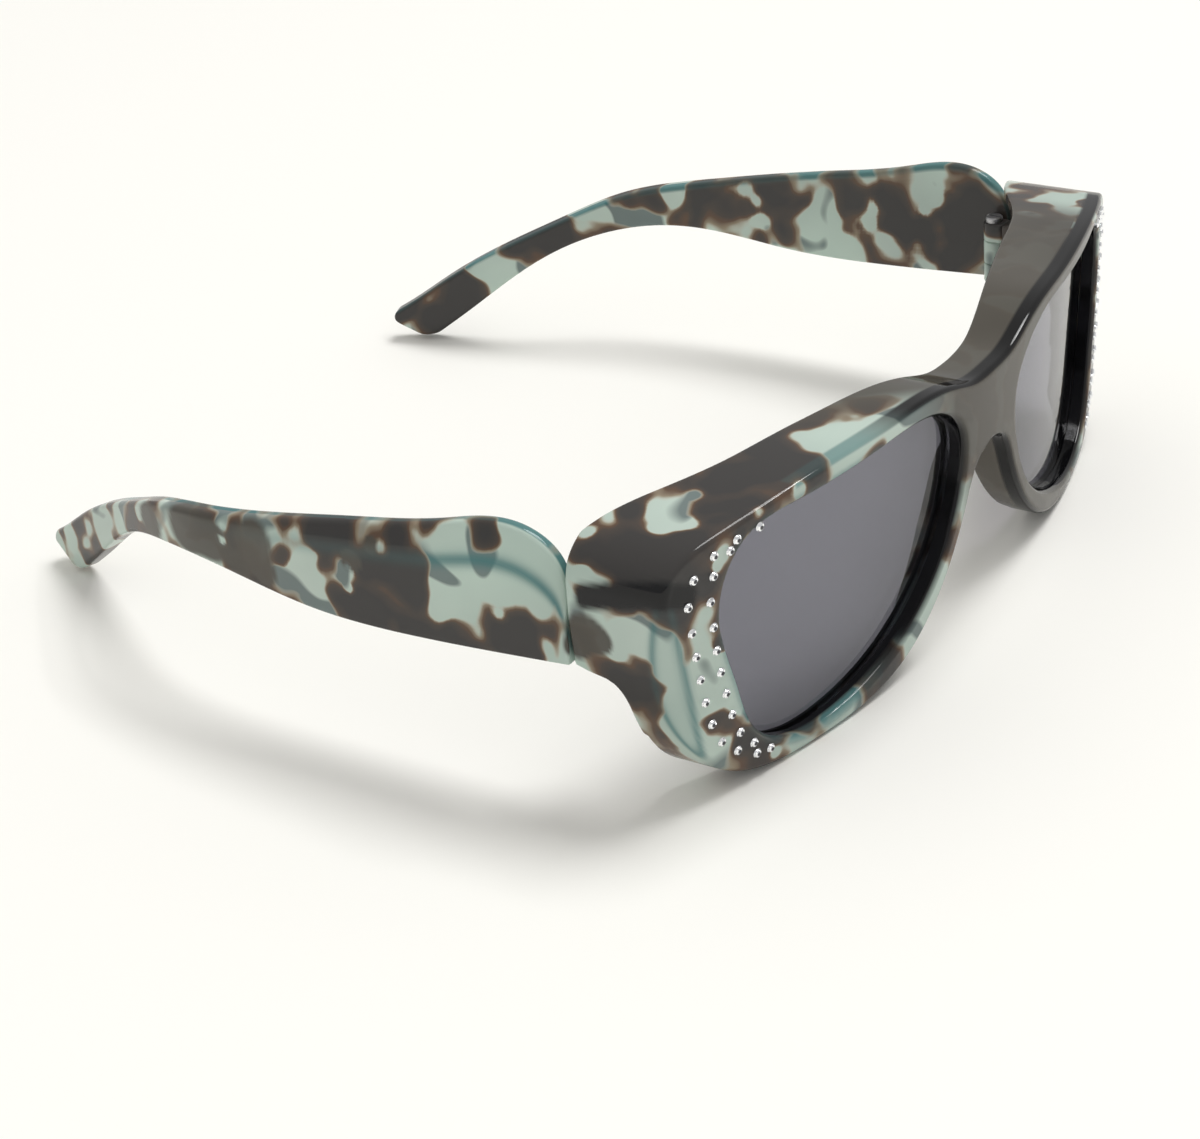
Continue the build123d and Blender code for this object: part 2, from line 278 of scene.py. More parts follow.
# %% How far back the wall lies
def wall_setback(depth, x, z):
    """Distance behind the bridge of a wall that wraps and leans.

    The wrap is R - sqrt((R - depth)^2 - x^2), and the lean adds slope times the height that is
    missing to the tilt height.
    """
    wrap = wrap_radius - np.sqrt((wrap_radius - depth) ** 2 - x**2)
    return wrap + tilt_slope * (tilt_height - z)


print("the wall's end lies", round(wall_setback(0, half_width, tilt_height), 1), "mm behind the bridge")

# %% How far back the skirt runs
nose_depth, nose_reach, nose_taper, nose_margin = 8.4, 17.9, 5.0, 1.0
relief_height = 10.0
edge_points = 200
shelf_shares = [
    (0.0, 0.269), (0.115, 0.29), (0.27, 0.378), (0.49, 0.535), (0.65, 0.65), (0.76, 0.79), (0.85, 0.92),
    (0.93, 1.0),
]
shield_shares = [
    (1.0, 0.488), (0.9, 0.476), (0.82, 0.458), (0.765, 0.41), (0.742, 0.33), (0.73, 0.23), (0.72, 0.10),
]
sill_shares = [(0.70, 0.46), (0.79, 0.56), (0.87, 0.68), (1.0, 0.74)]


def skirt_setback(outline):
    """Rear edge of the skirt behind each outline point: the nearest of shelf, shield, sill and nose edge."""
    x, z = np.abs(outline[:, 0]), outline[:, 1]
    fine_shares = np.linspace(0, 1, edge_points)
    shelf = curve_at(placed(shelf_shares, half_width, joint_depth), fine_shares)
    shield = curve_at(placed(shield_shares, joint_depth, brow_height), fine_shares)[::-1]
    sill = placed(sill_shares, half_width, joint_depth)
    low_x = np.concatenate([[0, nose_reach, nose_reach + nose_taper, sill[0, 0]], sill[:, 0]])
    low_y = np.concatenate([[nose_depth, nose_depth, rim_depth, rim_depth], sill[:, 1]])
    edge = np.minimum(np.interp(x, shelf[:, 0], shelf[:, 1]), np.interp(z, shield[:, 1], shield[:, 0]))
    under = (z < relief_height) | (x < nose_reach) & (z < nose_height + nose_margin)
    edge = np.where(under, np.minimum(edge, np.interp(x, low_x, low_y)), edge)
    return np.maximum(edge, wall_setback(rim_depth, x, z))


print("over the brow the skirt ends up to", skirt_setback(brow).max().round(1), "mm behind the bridge")

# %% [markdown]
# The outline of one half runs from the top of the bridge round the brow, the side and the low rim
# up to the top of the nose arch. The whole outline could be drawn at once, but the real pair is
# symmetric, and a half that is mirrored stays so. Points every 0.6 mm are dense enough for its
# tightest bend, and a short line up the middle of the bridge closes it.

# %% Outline of one half
section_gap = 0.6
bridge_sections = 16
outline_points = 3000


def half_outline():
    """Evenly spaced points of the +X half: the splines above and below, joined and spaced by length."""
    fine_shares = np.linspace(0, 1, outline_points)
    upper = curve_at(np.vstack([mirrored(brow), brow[1:]]), 0.5 + fine_shares / 2)
    lower_points = [brow[-1:], side, arch, mirrored(arch)[1:], mirrored(side), mirrored(brow)[:1]]
    lower = curve_at(np.vstack(lower_points), fine_shares / 2)
    both = np.vstack([upper, lower[1:]])
    length = np.linalg.norm(np.diff(both, axis=0), axis=1).sum()
    even_shares = np.linspace(0, 1, int(length / section_gap))
    return np.stack([np.interp(even_shares, arc_shares(both), values) for values in both.T], axis=1)


outline = half_outline()
outline_normals = left_normals(outline)
outline_normals[0], outline_normals[-1] = (0, 1), (0, -1)
bridge_line = np.linspace(outline[-1], outline[0], bridge_sections + 2)[1:-1]
ring = np.vstack([outline, bridge_line])
print("sections round one lens:", len(ring))

# %% [markdown]
# Each point of the outline needs a partner on the lens opening. The direction from the middle of
# the lens could decide it alone, but the nose arch runs almost straight at that middle and would
# get all its partners at one place. So a little of the distance along the outline is mixed in.

# %% Partners on the lens opening
lens_middle = np.array([35.5, 21.0])
arc_mix_share = 0.15
opening_points = 4000


def turning(points, start):
    """Angle turned clockwise round the lens middle from a start direction, unbroken."""
    away = points - lens_middle
    return np.unwrap(start - np.arctan2(away[:, 1], away[:, 0]), period=2 * np.pi)


def looked_up(places, known, values):
    """Each column of values at places between the known ones."""
    return np.stack([np.interp(places, known, column) for column in values.T], axis=1)


start_angle = np.arctan2(*(outline[0] - lens_middle)[::-1])
fine_opening = curve_at(opening, np.linspace(0, 1, opening_points + 1)[:-1], closed=True)
first = np.argmin(np.abs(np.angle(np.exp(1j * (turning(fine_opening, start_angle))))))
fine_opening = np.roll(fine_opening, -first, axis=0)
opening_normals = left_normals(fine_opening, closed=True)
fine_opening, opening_normals = [np.vstack([part, part[:1]]) for part in (fine_opening, opening_normals)]
opening_arc = arc_shares(fine_opening)
by_angle = np.interp(turning(ring, start_angle), turning(fine_opening, start_angle), opening_arc)
by_arc = arc_shares(np.vstack([ring, ring[:1]]))[:-1]
partner = (1 - arc_mix_share) * by_angle + arc_mix_share * by_arc
inner_edge = looked_up(partner, opening_arc, fine_opening)
inner_normals = looked_up(partner, opening_arc, opening_normals)
inner_normals /= np.linalg.norm(inner_normals, axis=1)[:, None]
rim_width = np.linalg.norm(ring - inner_edge, axis=1)
print("the rim is", rim_width.min().round(1), "to", rim_width.max().round(1), "mm wide")

# %% [markdown]
# The section runs from the lens groove over a small bevel, the face, the rounded ridge and the
# skirt, and back inside to the rear of the rim and its lip. A Bevel modifier would round all these
# corners alike. A mould doesn't, so each corner gets a quarter circle with a radius of its own.

# %% Radii and rows of the section
opening_bevel, edge_radius = 0.7, 0.15
ridge_radius, rear_radius, inside_radius = 0.9, 0.55, 0.8
least_rear, least_inside, inside_spare = 0.4, 0.1, 0.3
groove_near, groove_far, groove_grip = 2.65, 4.45, 1.0
wall_depths = (groove_near, 1.9, 1.3, opening_bevel + edge_radius)
bevel_shares = [(0.12, 0.88), (0.88, 0.12)]
face_rows, skirt_rows, inside_rows, back_rows, arc_rows = 16, 44, 20, 12, 6
quarter = np.linspace(0, np.pi / 2, arc_rows)[1:]


def row(points, setback):
    """One row of the front: x, z and setback side by side."""
    return np.column_stack([points, setback])


def on_wall(points, depth):
    """A row that lies a depth behind the face of the curved wall."""
    return row(points, wall_setback(depth, *points.T))


def between(start, end, count):
    """Even steps from a start to an end: start + (end - start) times share."""
    return [start + (end - start) * share for share in np.linspace(0, 1, count)]


print("groove", round(groove_far - groove_near, 2), "mm wide and", groove_grip, "mm deep")

# %% Where the stretches of the section begin
on_bridge = np.arange(len(ring)) >= len(outline)
normals = np.vstack([outline_normals, np.zeros((bridge_sections, 2))])
bridge_low, bridge_high = outline[-1, 1], outline[0, 1]
rim_rear = wall_setback(rim_depth, *ring.T)
skirt_rear = np.maximum(np.concatenate([skirt_setback(outline), np.zeros(bridge_sections)]), rim_rear)
room = (skirt_rear - rim_rear) / 2
rear_round = np.minimum(rear_radius, np.maximum(room, least_rear))
inside_round = np.maximum(np.minimum(inside_radius, rim_width - shell_wall - inside_spare), least_inside)
inside_round = np.minimum(inside_round, room)


def inwards(distance):
    """The outline's points moved square to it by a distance, one for all or one for each."""
    return ring - normals * np.broadcast_to(distance, len(ring))[:, None]


def end_of(distance, bridge_distance):
    """Points a distance inside the outline, and on the bridge evenly spread between arch and brow."""
    points = inwards(distance)
    steps = np.linspace(0, 1, bridge_sections + 2)[1:-1]
    height = bridge_high - bridge_low - 2 * bridge_distance
    points[on_bridge, 1] = bridge_low + bridge_distance + steps * height
    return points


face_end = end_of(ridge_radius, ridge_radius)
back_end = end_of(shell_wall + inside_round, shell_wall + inside_round[0])
print("skirt up to", (skirt_rear - rim_rear).max().round(1), "mm behind the rim")

# %% Wall of the opening, bevel and face
rows = [on_wall(inner_edge, depth) for depth in wall_depths]
rows += [
    on_wall(inner_edge + inner_normals * out * opening_bevel, back * opening_bevel)
    for out, back in bevel_shares
]
face_start = inner_edge + inner_normals * (opening_bevel + edge_radius)
rows += [on_wall(points, 0) for points in between(face_start, face_end, face_rows)]
first_outer = len(rows) - 1
print("rows as far as the ridge:", len(rows))

# %% Ridge, skirt and rear edge
face_back = wall_setback(0, *face_end.T)
skirt_end = skirt_rear - rear_round
lip_round = np.minimum(rear_round, room)
rows += [
    row(inwards(ridge_radius * (1 - np.sin(turn))), face_back + ridge_radius * (1 - np.cos(turn)))
    for turn in quarter
]
rows += [row(ring, setback) for setback in between(face_back + ridge_radius, skirt_end, skirt_rows)[1:]]
rows += [
    row(inwards(rear_round * (1 - np.cos(turn))), skirt_end + rear_round * np.sin(turn)) for turn in quarter
]
rows += [
    row(inwards(shell_wall - lip_round * (1 - np.sin(turn))), skirt_rear - lip_round * (1 - np.cos(turn)))
    for turn in quarter
]
print("rows as far as the inside:", len(rows))

# %% Inside, rear of the rim and groove
inside_start = rows[-1][:, 2]
inside_end = np.where(on_bridge, inside_start, rim_rear + inside_round)
lip = inner_edge + inner_normals * edge_radius
groove = inner_edge + inner_normals * groove_grip
rows += [row(inwards(shell_wall), setback) for setback in between(inside_start, inside_end, inside_rows)[1:]]
rows += [
    row(inwards(shell_wall + inside_round * (1 - np.cos(turn))), inside_end - inside_round * np.sin(turn))
    for turn in quarter
]
last_outer = len(rows)
rows += [on_wall(points, rim_depth) for points in between(back_end, lip, back_rows)]
rows += [on_wall(inner_edge, rim_depth - edge_radius), on_wall(inner_edge, groove_far)]
rows += [on_wall(groove, groove_far), on_wall(groove, groove_near)]
rows = np.stack(rows)
print("rows in a section:", len(rows))

# %% [markdown]
# A flat bevels each front corner, as if it had been planed off. Cutting the mesh would leave a
# ragged row of faces. Instead, points beyond the flat's plane are pushed back onto it, with a soft
# step instead of a hard one so that the crease is rounded.

# %% Bevelled corners
corner_flat = np.array([69.7, 12.6, 32.0])
flat_turn, flat_lean = np.radians(37.6), np.radians(7.1)
flat_outward = np.array([np.cos(flat_turn), -np.sin(flat_turn), -np.sin(flat_lean)])
flat_outward /= np.linalg.norm(flat_outward)
crease_softness, flat_onset = 0.35, 3.0


def flatten_corner(points):
    """Moves points by half of s + sqrt(s^2 + softness^2) against the flat's normal.

    The height over the flat is s, and the move fades in over the onset below the plane.
    """
    over = (points - corner_flat) @ flat_outward
    push = (over + np.sqrt(over**2 + crease_softness**2)) / 2 * smoothstep(-flat_onset, 0, over)
    return points - push[..., None] * flat_outward


grid = rows[..., [0, 2, 1]]
outer_rows = slice(len(wall_depths), first_outer + skirt_rows + 2 * arc_rows)
pushed = flatten_corner(grid[outer_rows])
print("the flat takes off up to", np.linalg.norm(pushed - grid[outer_rows], axis=-1).max().round(1), "mm")
grid[outer_rows] = pushed
grid[..., 1] += front_y

# %% [markdown]
# The two halves meet at the bridge, which is solid there. A Mirror modifier could make the second
# one, but each half would keep the faces across its middle, as a wall inside the moulding. Those
# faces are left out here, and the seam's points are set to x = 0 so that the halves join.

# %% Faces of both halves
seam_gap = 0.01
faces = grid_faces(len(rows), len(ring), close_rows=True, close_columns=True)
row_number, column_number = faces // len(ring), faces % len(ring)
bridge_column = on_bridge[column_number] | np.isin(column_number, (0, len(outline) - 1))
in_middle = (bridge_column & (row_number >= first_outer) & (row_number <= last_outer)).all(axis=1)
spans_bridge = on_bridge[column_number].any(axis=1)
faces = faces[~(in_middle & spans_bridge)]
half_points = grid.reshape(-1, 3)
half_points[np.abs(half_points[:, 0]) < seam_gap, 0] = 0
other_points = half_points * (-1, 1, 1)
front_parts = [(half_points, faces, ()), (other_points, faces[:, ::-1], ())]
print("faces in a half:", len(faces))

# %% [markdown]
# The hinge parts and the temples have sections with rounded corners. An arc would need the angle
# of each corner. A short parabola needs only a start, the corner and an end, so that one function
# serves for a whole row of sections at once.

# %% Rounded corners
reach_limit_share = 0.45
corner_steps = 5


def rounded(corners, radius, fill=0):
    """A closed polygon with a parabola at each corner; corners are (corner, station, 2).

    A parabola is (1 - t)^2 start + 2 t (1 - t) corner + t^2 end. Its ends lie a radius from the
    corner, and each side between two of them gets fill points of its own.
    """
    corners = np.asarray(corners, float)
    before = np.roll(corners, 1, axis=0) - corners
    after = np.roll(corners, -1, axis=0) - corners
    long_before, long_after = [np.linalg.norm(v, axis=-1, keepdims=True) for v in (before, after)]
    reach = np.minimum(radius, reach_limit_share * np.minimum(long_before, long_after))
    start = corners + before / long_before * reach
    end = corners + after / long_after * reach
    t = np.linspace(0, 1, corner_steps).reshape(-1, *[1] * corners.ndim)
    loop = (1 - t) ** 2 * start + 2 * t * (1 - t) * corners + t**2 * end
    t = np.linspace(0, 1, fill + 2)[1:-1].reshape(-1, *[1] * corners.ndim)
    sides = end + t * (np.roll(start, -1, axis=0) - end)
    return np.swapaxes(np.concatenate([loop, sides]), 0, 1).reshape(-1, *corners.shape[1:])


print("points of a rounded square:", len(rounded([(0, 0), (1, 0), (1, 1), (0, 1)], reach_limit_share)))

# %% [markdown]
# A hinge is made of blocks: a plan outline, a bottom and a top. A plain extrusion has knife edges
# that no mould gives. So a wall here starts and ends with a quarter circle that draws its outline
# in, and it ends in a cap, or in a bore where a screw passes.

# %% Upright blocks
rim_steps = 4


def rim_profile(low, high, radius):
    """Insets and heights up a wall with two rounded rims: r (1 - sin) inwards, r (1 - cos) up or down."""
    turns = np.linspace(0, np.pi / 2, rim_steps)
    insets, rises = radius * (1 - np.sin(turns)), radius * (1 - np.cos(turns))
    insets = np.concatenate([insets, insets[::-1]])
    return insets[:, None, None], np.concatenate([low + rises, high - rises[::-1]])


def prism(outline, low, high, radius):
    """A block over a plan outline, closed by a cap at each end: outline + inwards times inset, up the wall.

    Inwards is the outline's normal, with the sign that points at its middle.
    """
    insets, heights = rim_profile(low, high, radius)
    inward = left_normals(outline, closed=True)
    inward *= np.sign(((outline.mean(axis=0) - outline) * inward).sum(axis=1).mean())
    plan = outline + inward * insets
    points = np.dstack([plan, np.broadcast_to(heights[:, None], plan.shape[:2])]).reshape(-1, 3)
    rows, columns = plan.shape[:2]
    caps = (np.arange(columns), np.arange(columns) + (rows - 1) * columns)
    return points, grid_faces(rows, columns, close_columns=True), caps


def bored_prism(outline, middle, bore, low, high, radius):
    """A closed ring between a round bore and a plan outline.

    A bore point is middle + bore times (cos, sin) of the angle at which its outline point is seen,
    and the wall is the outline moved towards the bore by the insets.
    """
    insets, heights = rim_profile(low, high, radius)
    angle = np.arctan2(*(outline - middle).T[::-1])
    hole = middle + bore * np.stack([np.cos(angle), np.sin(angle)], axis=1)
    outward = (outline - hole) / np.linalg.norm(outline - hole, axis=1)[:, None]
    plan = outline - outward * insets
    wall = np.dstack([plan, np.broadcast_to(heights[:, None], plan.shape[:2])])
    ends = [np.column_stack([hole, np.full(len(hole), height)]) for height in (high, low)]
    points = np.concatenate([wall, np.stack(ends)]).reshape(-1, 3)
    return points, grid_faces(len(wall) + 2, len(outline), close_rows=True, close_columns=True), ()


def on_side(part, hand):
    """A part in the shared frame: its x times the hand, 1 or -1, and its y from the front's place on."""
    points, quads, caps = part
    return points * (hand, 1, 1) + (0, front_y, 0), quads, caps


print("steps round a rim:", rim_steps)

# %% [markdown]
# Behind each shield a boss carries two lugs, and the temple's tongue turns between them on the
# screw. On a real pair they are moulded in one with their carriers. Joined as one mesh they could
# be cut into each other, but separate closed blocks that overlap look the same and stay clean.

# %% Sizes of the hinge
hinge_inset, hinge_setback, knuckle_radius = 5.4, 2.0, 1.75
hinge_base, lug_height, tongue_height = 21.0, 3.2, 3.9
knuckle_clearance, bore_radius = 0.1, 0.85
boss_length, boss_rib_length, boss_rib_wall = 7.0, 9.2, 1.6
boss_corner_radius, boss_edge_radius, lug_edge_radius, lug_reach = 0.5, 0.3, 0.25, 2.2
squareness = 0.2
hinge = np.array([half_width - hinge_inset, joint_depth + hinge_setback])
tongue_base = hinge_base + lug_height + knuckle_clearance
upper_lug_base = tongue_base + tongue_height + knuckle_clearance
hinge_top = upper_lug_base + lug_height
print("hinge", round(hinge_top - hinge_base, 1), "mm tall at x", hinge[0], "mm")


# %% Boss and lugs, and the front
def lug_outline(reach, facing, points=48):
    """A round end on the hinge axis and a squared one, a reach away from it, turned by an angle.

    The squared half is a circle whose x is sign(x) |x / r|^p r with a small power p.
    """
    angles = np.linspace(0, 2 * np.pi, points, endpoint=False)
    outline = knuckle_radius * np.stack([np.cos(angles), np.sin(angles)], axis=1)
    outline[outline[:, 1] < 0, 1] *= reach / knuckle_radius
    below = angles > np.pi
    across = np.clip(np.abs(outline[below, 0]) / knuckle_radius, 0.0, 1.0)
    outline[below, 0] = np.sign(outline[below, 0]) * knuckle_radius * across**squareness
    turn = np.array([[np.cos(facing), np.sin(facing)], [-np.sin(facing), np.cos(facing)]])
    return outline @ turn + hinge


boss_outside = half_width - shell_wall / 2
boss_inside = boss_outside - boss_rib_wall - shell_wall
boss_plan = np.array([
    (hinge[0] - knuckle_radius, joint_depth - boss_length), (boss_inside, joint_depth - boss_length),
    (boss_inside, joint_depth - boss_rib_length), (boss_outside, joint_depth - boss_rib_length),
    (boss_outside, joint_depth), (hinge[0] - knuckle_radius, joint_depth),
])
boss = prism(rounded(boss_plan, boss_corner_radius), hinge_base, hinge_top, boss_edge_radius)
lugs = [
    bored_prism(lug_outline(lug_reach, 0), hinge, bore_radius, base, base + lug_height, lug_edge_radius)
    for base in (hinge_base, upper_lug_base)
]
for hand in (1, -1):
    front_parts += [on_side(part, hand) for part in (boss, *lugs)]
make_piece("front_shell", front_parts, "front", ["front_frame"])

# %% [markdown]
# A temple is a broad arm that narrows to the ear and drops behind it. It could be a flat plate bent
# with a modifier, but its bevel and its wall would twist with it. Here it is a row of sections: the
# upper and the lower outline of its side view give the two ends of a section, and its outline seen
# from above gives the outer face.

# %% Outlines of a temple
temple_wall, temple_height = 3.2, 39.2
temple_side_shares = [
    (0.0, 0.80), (0.014, 0.915), (0.056, 0.995), (0.172, 0.955), (0.308, 0.878), (0.429, 0.812),
    (0.535, 0.755), (0.647, 0.681), (0.727, 0.58), (0.808, 0.465), (0.894, 0.316), (0.965, 0.17),
    (1.0, 0.108),
]
temple_keel_shares = [
    (0.935, 0.0), (0.862, 0.166), (0.793, 0.33), (0.729, 0.446), (0.616, 0.54), (0.505, 0.545),
    (0.374, 0.498), (0.202, 0.492), (0.101, 0.508), (0.0, 0.528),
]
temple_plan_shares = [
    (0.997, -0.02), (1.0, 0.152), (1.0, 0.293), (0.994, 0.414), (0.977, 0.515), (0.937, 0.616),
    (0.866, 0.714), (0.789, 0.808), (0.721, 0.909), (0.655, 1.02),
]
temple_top = placed(temple_side_shares, temple_length, temple_height, temple_start)
temple_keel = placed(temple_keel_shares, temple_length, temple_height, temple_start)
temple_plan = placed(temple_plan_shares, half_width, temple_length, 0, temple_start)
print("temple tips stand", round(2 * temple_plan[-1, 0] - temple_wall, 1), "mm apart")

# %% [markdown]
# The two ends of a temple are rounded, the tip more than the hinge end. Even steps along it would
# be too coarse there, so the stations crowd together at both ends as the angle of a quarter circle
# does. The bevel along the outer top edge is broad at the hinge and runs out two thirds of the
# way back.

# %% Stations, rounded ends and bevel
end_radius, long_radius, tip_radius = 0.4, 0.7, 2.6
end_steps, middle_stations, side_points = 10, 170, 26
bevel_height, bevel_low, bevel_depth = 4.4, 0.5, 1.5
bevel_start_share, bevel_end_share, least_bevel_share = 0.05, 0.66, 0.35
turns = np.linspace(np.pi / 2, 0, end_steps)
front_steps, tip_steps = [radius * (1 - np.sin(turns)) / temple_length for radius in (end_radius, tip_radius)]
middle_steps = np.linspace(front_steps[-1], 1 - tip_steps[-1], middle_stations)[1:-1]
stations = np.concatenate([front_steps, middle_steps, 1 - tip_steps[::-1]])


def round_off(distance, radius):
    """How far a quarter circle draws a side in at a distance from its end: r - sqrt(r^2 - (r - d)^2)."""
    return radius - np.sqrt(radius**2 - np.clip(radius - distance, 0, radius) ** 2)


def bevel_fade(shares):
    """1 at the hinge and 0 where the bevel has run out: 1 less a soft step between its two shares."""
    return 1 - smoothstep(bevel_start_share, bevel_end_share, shares)


def bevel_drop(fade):
    """Height of the bevel: low + (height - low) times fade."""
    return bevel_low + (bevel_height - bevel_low) * fade


print("stations along a temple:", len(stations))


# %% Sections of a temple
def temple_loops(length):
    """Rounded five-sided loops as (point, station, 2): depth under the outer face, height over the keel.

    Near an end each loop shrinks towards its middle by the inset of that end's quarter circle.
    """
    fade = bevel_fade(stations)
    depth = bevel_depth * (least_bevel_share + (1 - least_bevel_share) * fade)
    zero = np.zeros_like(length)
    inner = zero + temple_wall
    sides = [(zero, zero), (zero, length - bevel_drop(fade)), (depth, length), (inner, length), (inner, zero)]
    loop = rounded(np.array(sides).transpose(0, 2, 1), long_radius, fill=side_points)
    from_front, from_tip = stations * temple_length, (1 - stations) * temple_length
    at_front = round_off(from_front, end_radius)
    insets = [at_front + round_off(from_tip, radius) for radius in (end_radius, tip_radius)]
    middle = np.stack([inner / 2, length / 2], axis=1)
    return middle + (loop - middle) * (1 - np.stack(insets, axis=1) / middle)


def temple_part(plan_points=1500):
    """The loops of all stations on the temple's two curves.

    Along the side view a point is keel + up times its height. Seen from above it is the plan
    curve's point there + inwards times its depth.
    """
    high, low = curve_at(temple_top, stations), curve_at(temple_keel, 1 - stations)
    length = np.linalg.norm(high - low, axis=1)
    up = (high - low) / length[:, None]
    loop = temple_loops(length)
    plan = curve_at(temple_plan, np.linspace(0, 1, plan_points))
    side_y = low[:, 0] + up[:, 0] * loop[..., 1]
    side_z = low[:, 1] + up[:, 1] * loop[..., 1]
    known = (plan[:, 0], *left_normals(plan).T)
    outer_x, inward_x, inward_y = [np.interp(side_y, plan[:, 1], values) for values in known]
    points = np.stack([outer_x + inward_x * loop[..., 0], side_y + inward_y * loop[..., 0], side_z], axis=-1)
    rows, columns = points.shape[:2]
    caps = (np.arange(rows) * columns, np.arange(rows) * columns + columns - 1)
    return points.reshape(-1, 3), grid_faces(rows, columns, close_rows=True), caps


tongue_outline = lug_outline(hinge_inset - temple_wall / 2, np.pi / 2)
tongue_top = tongue_base + tongue_height
tongue = bored_prism(tongue_outline, hinge, bore_radius, tongue_base, tongue_top, lug_edge_radius)
for hand, name in ((1, "temple_left"), (-1, "temple_right")):
    parts = [on_side(part, hand) for part in (temple_part(), tongue)]
    make_piece(name + "_arm", parts, name, [name])

# %% [markdown]
# A smoke lens is one curved piece that snaps into the groove. A sheet with a Solidify modifier
# would do, but its edge would be square to the sheet and not to the groove. Here two sheets of the
# curved wall are joined round an outline that reaches into the groove, less a clearance.

# %% Lenses
lens_recess, lens_thickness, lens_clearance = 2.7, 1.7, 0.05
ring_spread = 0.8


def lens_part(rings=16, spokes=180):
    """Rings from the lens middle out to its edge on the front sheet, and back in on the rear one.

    A ring is middle + (edge - middle) times share, and rings crowd a little towards the edge.
    """
    edge = curve_at(opening, np.linspace(0, 1, spokes + 1)[:-1], closed=True)
    edge = edge + left_normals(edge, closed=True) * (groove_grip - lens_clearance)
    shares = np.linspace(0, 1, rings) ** ring_spread
    flat = lens_middle + (edge - lens_middle) * shares[:, None, None]
    depths = (lens_recess, lens_recess + lens_thickness)
    sheets = [np.dstack([flat, wall_setback(depth, flat[..., 0], flat[..., 1])]) for depth in depths]
    points = np.concatenate([sheets[0], sheets[1][::-1]]).reshape(-1, 3)[:, [0, 2, 1]]
    return points, grid_faces(2 * rings, spokes, close_columns=True), ()


for hand, name in ((1, "lens_left"), (-1, "lens_right")):
    make_piece(name + "_glass", [on_side(lens_part(), hand)], "front", [name])

# %% [markdown]
# A crystal sits in each pocket: a round girdle, a crown of small facets and a flat table. Copies of
# one object would be 48 objects. All of one side are one mesh instead: the same crystal at every
# seat of both rows. Its edges all stay hard, because a cut stone has no smooth shading.

# %% One crystal
facets = 16
stone_radius, stone_height, stone_girdle, seat_depth = 0.7, 0.5, 0.15, 0.3
table_share, crown_share, crown_height_share, facet_turn = 0.42, 0.8, 0.62, 0.5
crown_height = stone_girdle + (stone_height - stone_girdle) * crown_height_share


def stone_ring(radius_share, height, turn):
    """A ring of facet corners: radius times cos and sin of the angle, turned by a share of a facet."""
    angle = (np.arange(facets) + turn) * 2 * np.pi / facets
    x, y = [wave * radius_share * stone_radius for wave in (np.cos(angle), np.sin(angle))]
    return np.stack([x, y, np.full(facets, height)], axis=1)


stone = np.concatenate([
    stone_ring(1, -seat_depth, 0), stone_ring(1, stone_girdle, 0),
    stone_ring(crown_share, crown_height, facet_turn), stone_ring(table_share, stone_height, 0),
])
print("corners of a crystal:", len(stone))

# %% Both rows of crystals
outer_row_shares = [
    (0.776, 0.912), (0.83, 0.907), (0.895, 0.880), (0.937, 0.82), (0.941, 0.70), (0.925, 0.52),
    (0.902, 0.32), (0.872, 0.2), (0.79, 0.093),
]
inner_row_shares = [
    (0.847, 0.879), (0.886, 0.82), (0.892, 0.69), (0.878, 0.5), (0.857, 0.34), (0.828, 0.2), (0.755, 0.083),
]
row_counts = ((outer_row_shares, 13), (inner_row_shares, 11))
facet_degrees = 1.0


def stones_part():
    """The crystal at every seat, square to the face: seat + x along + y across + z outward.

    Outward is the wrap's normal (x / sqrt(R^2 - x^2), -1), leaning by the tilt's slope.
    """
    seats = np.vstack([
        curve_at(placed(shares, half_width, brow_height), np.linspace(0, 1, count))
        for shares, count in row_counts
    ])
    x, z = seats.T
    middle = np.stack([x, wall_setback(0, x, z), z], axis=1)
    wrap_slope = x / np.sqrt(wrap_radius**2 - x**2)
    outward = np.stack([wrap_slope, -np.ones_like(x), np.full_like(x, -tilt_slope)], axis=1)
    outward /= np.linalg.norm(outward, axis=1)[:, None]
    along = np.cross(outward, (0, 0, 1))
    along /= np.linalg.norm(along, axis=1)[:, None]
    axes = np.stack([along, np.cross(outward, along), outward], axis=1)
    points = middle[:, None] + stone @ axes
    quads = grid_faces(len(stone) // facets, facets, close_columns=True)
    starts = (np.arange(len(seats)) * len(stone))[:, None]
    caps = np.concatenate([starts + np.arange(facets), starts + np.arange(facets) + len(stone) - facets])
    return points.reshape(-1, 3), (quads + starts[:, :, None]).reshape(-1, 4), tuple(caps)


for hand, name in ((1, "rhinestones_left"), (-1, "rhinestones_right")):
    make_piece(name + "_cut", [on_side(stones_part(), hand)], "front", [name], sharp=facet_degrees)

# %% [markdown]
# A hinge screw is turned from steel and its head is slotted. The slot could be cut with a Boolean
# modifier, which leaves long thin faces. Here the columns of the turned mesh are spaced so that
# two of them stand at each wall of the slot, one at the top of it and one at its floor.

# %% Columns round a slotted screw
screw_radius, screw_tail, head_radius, head_height = 0.8, 0.3, 1.4, 0.9
slot_width, slot_depth = 0.4, 0.35
screw_bevel = 0.15
quarter_points, across_rows = 12, 5
screw_degrees = 25.0


def there_and_back(values, other):
    """A quarter's values, and then the other ones in reverse without their first, up to the start."""
    return np.concatenate([values, other[-2::-1]])


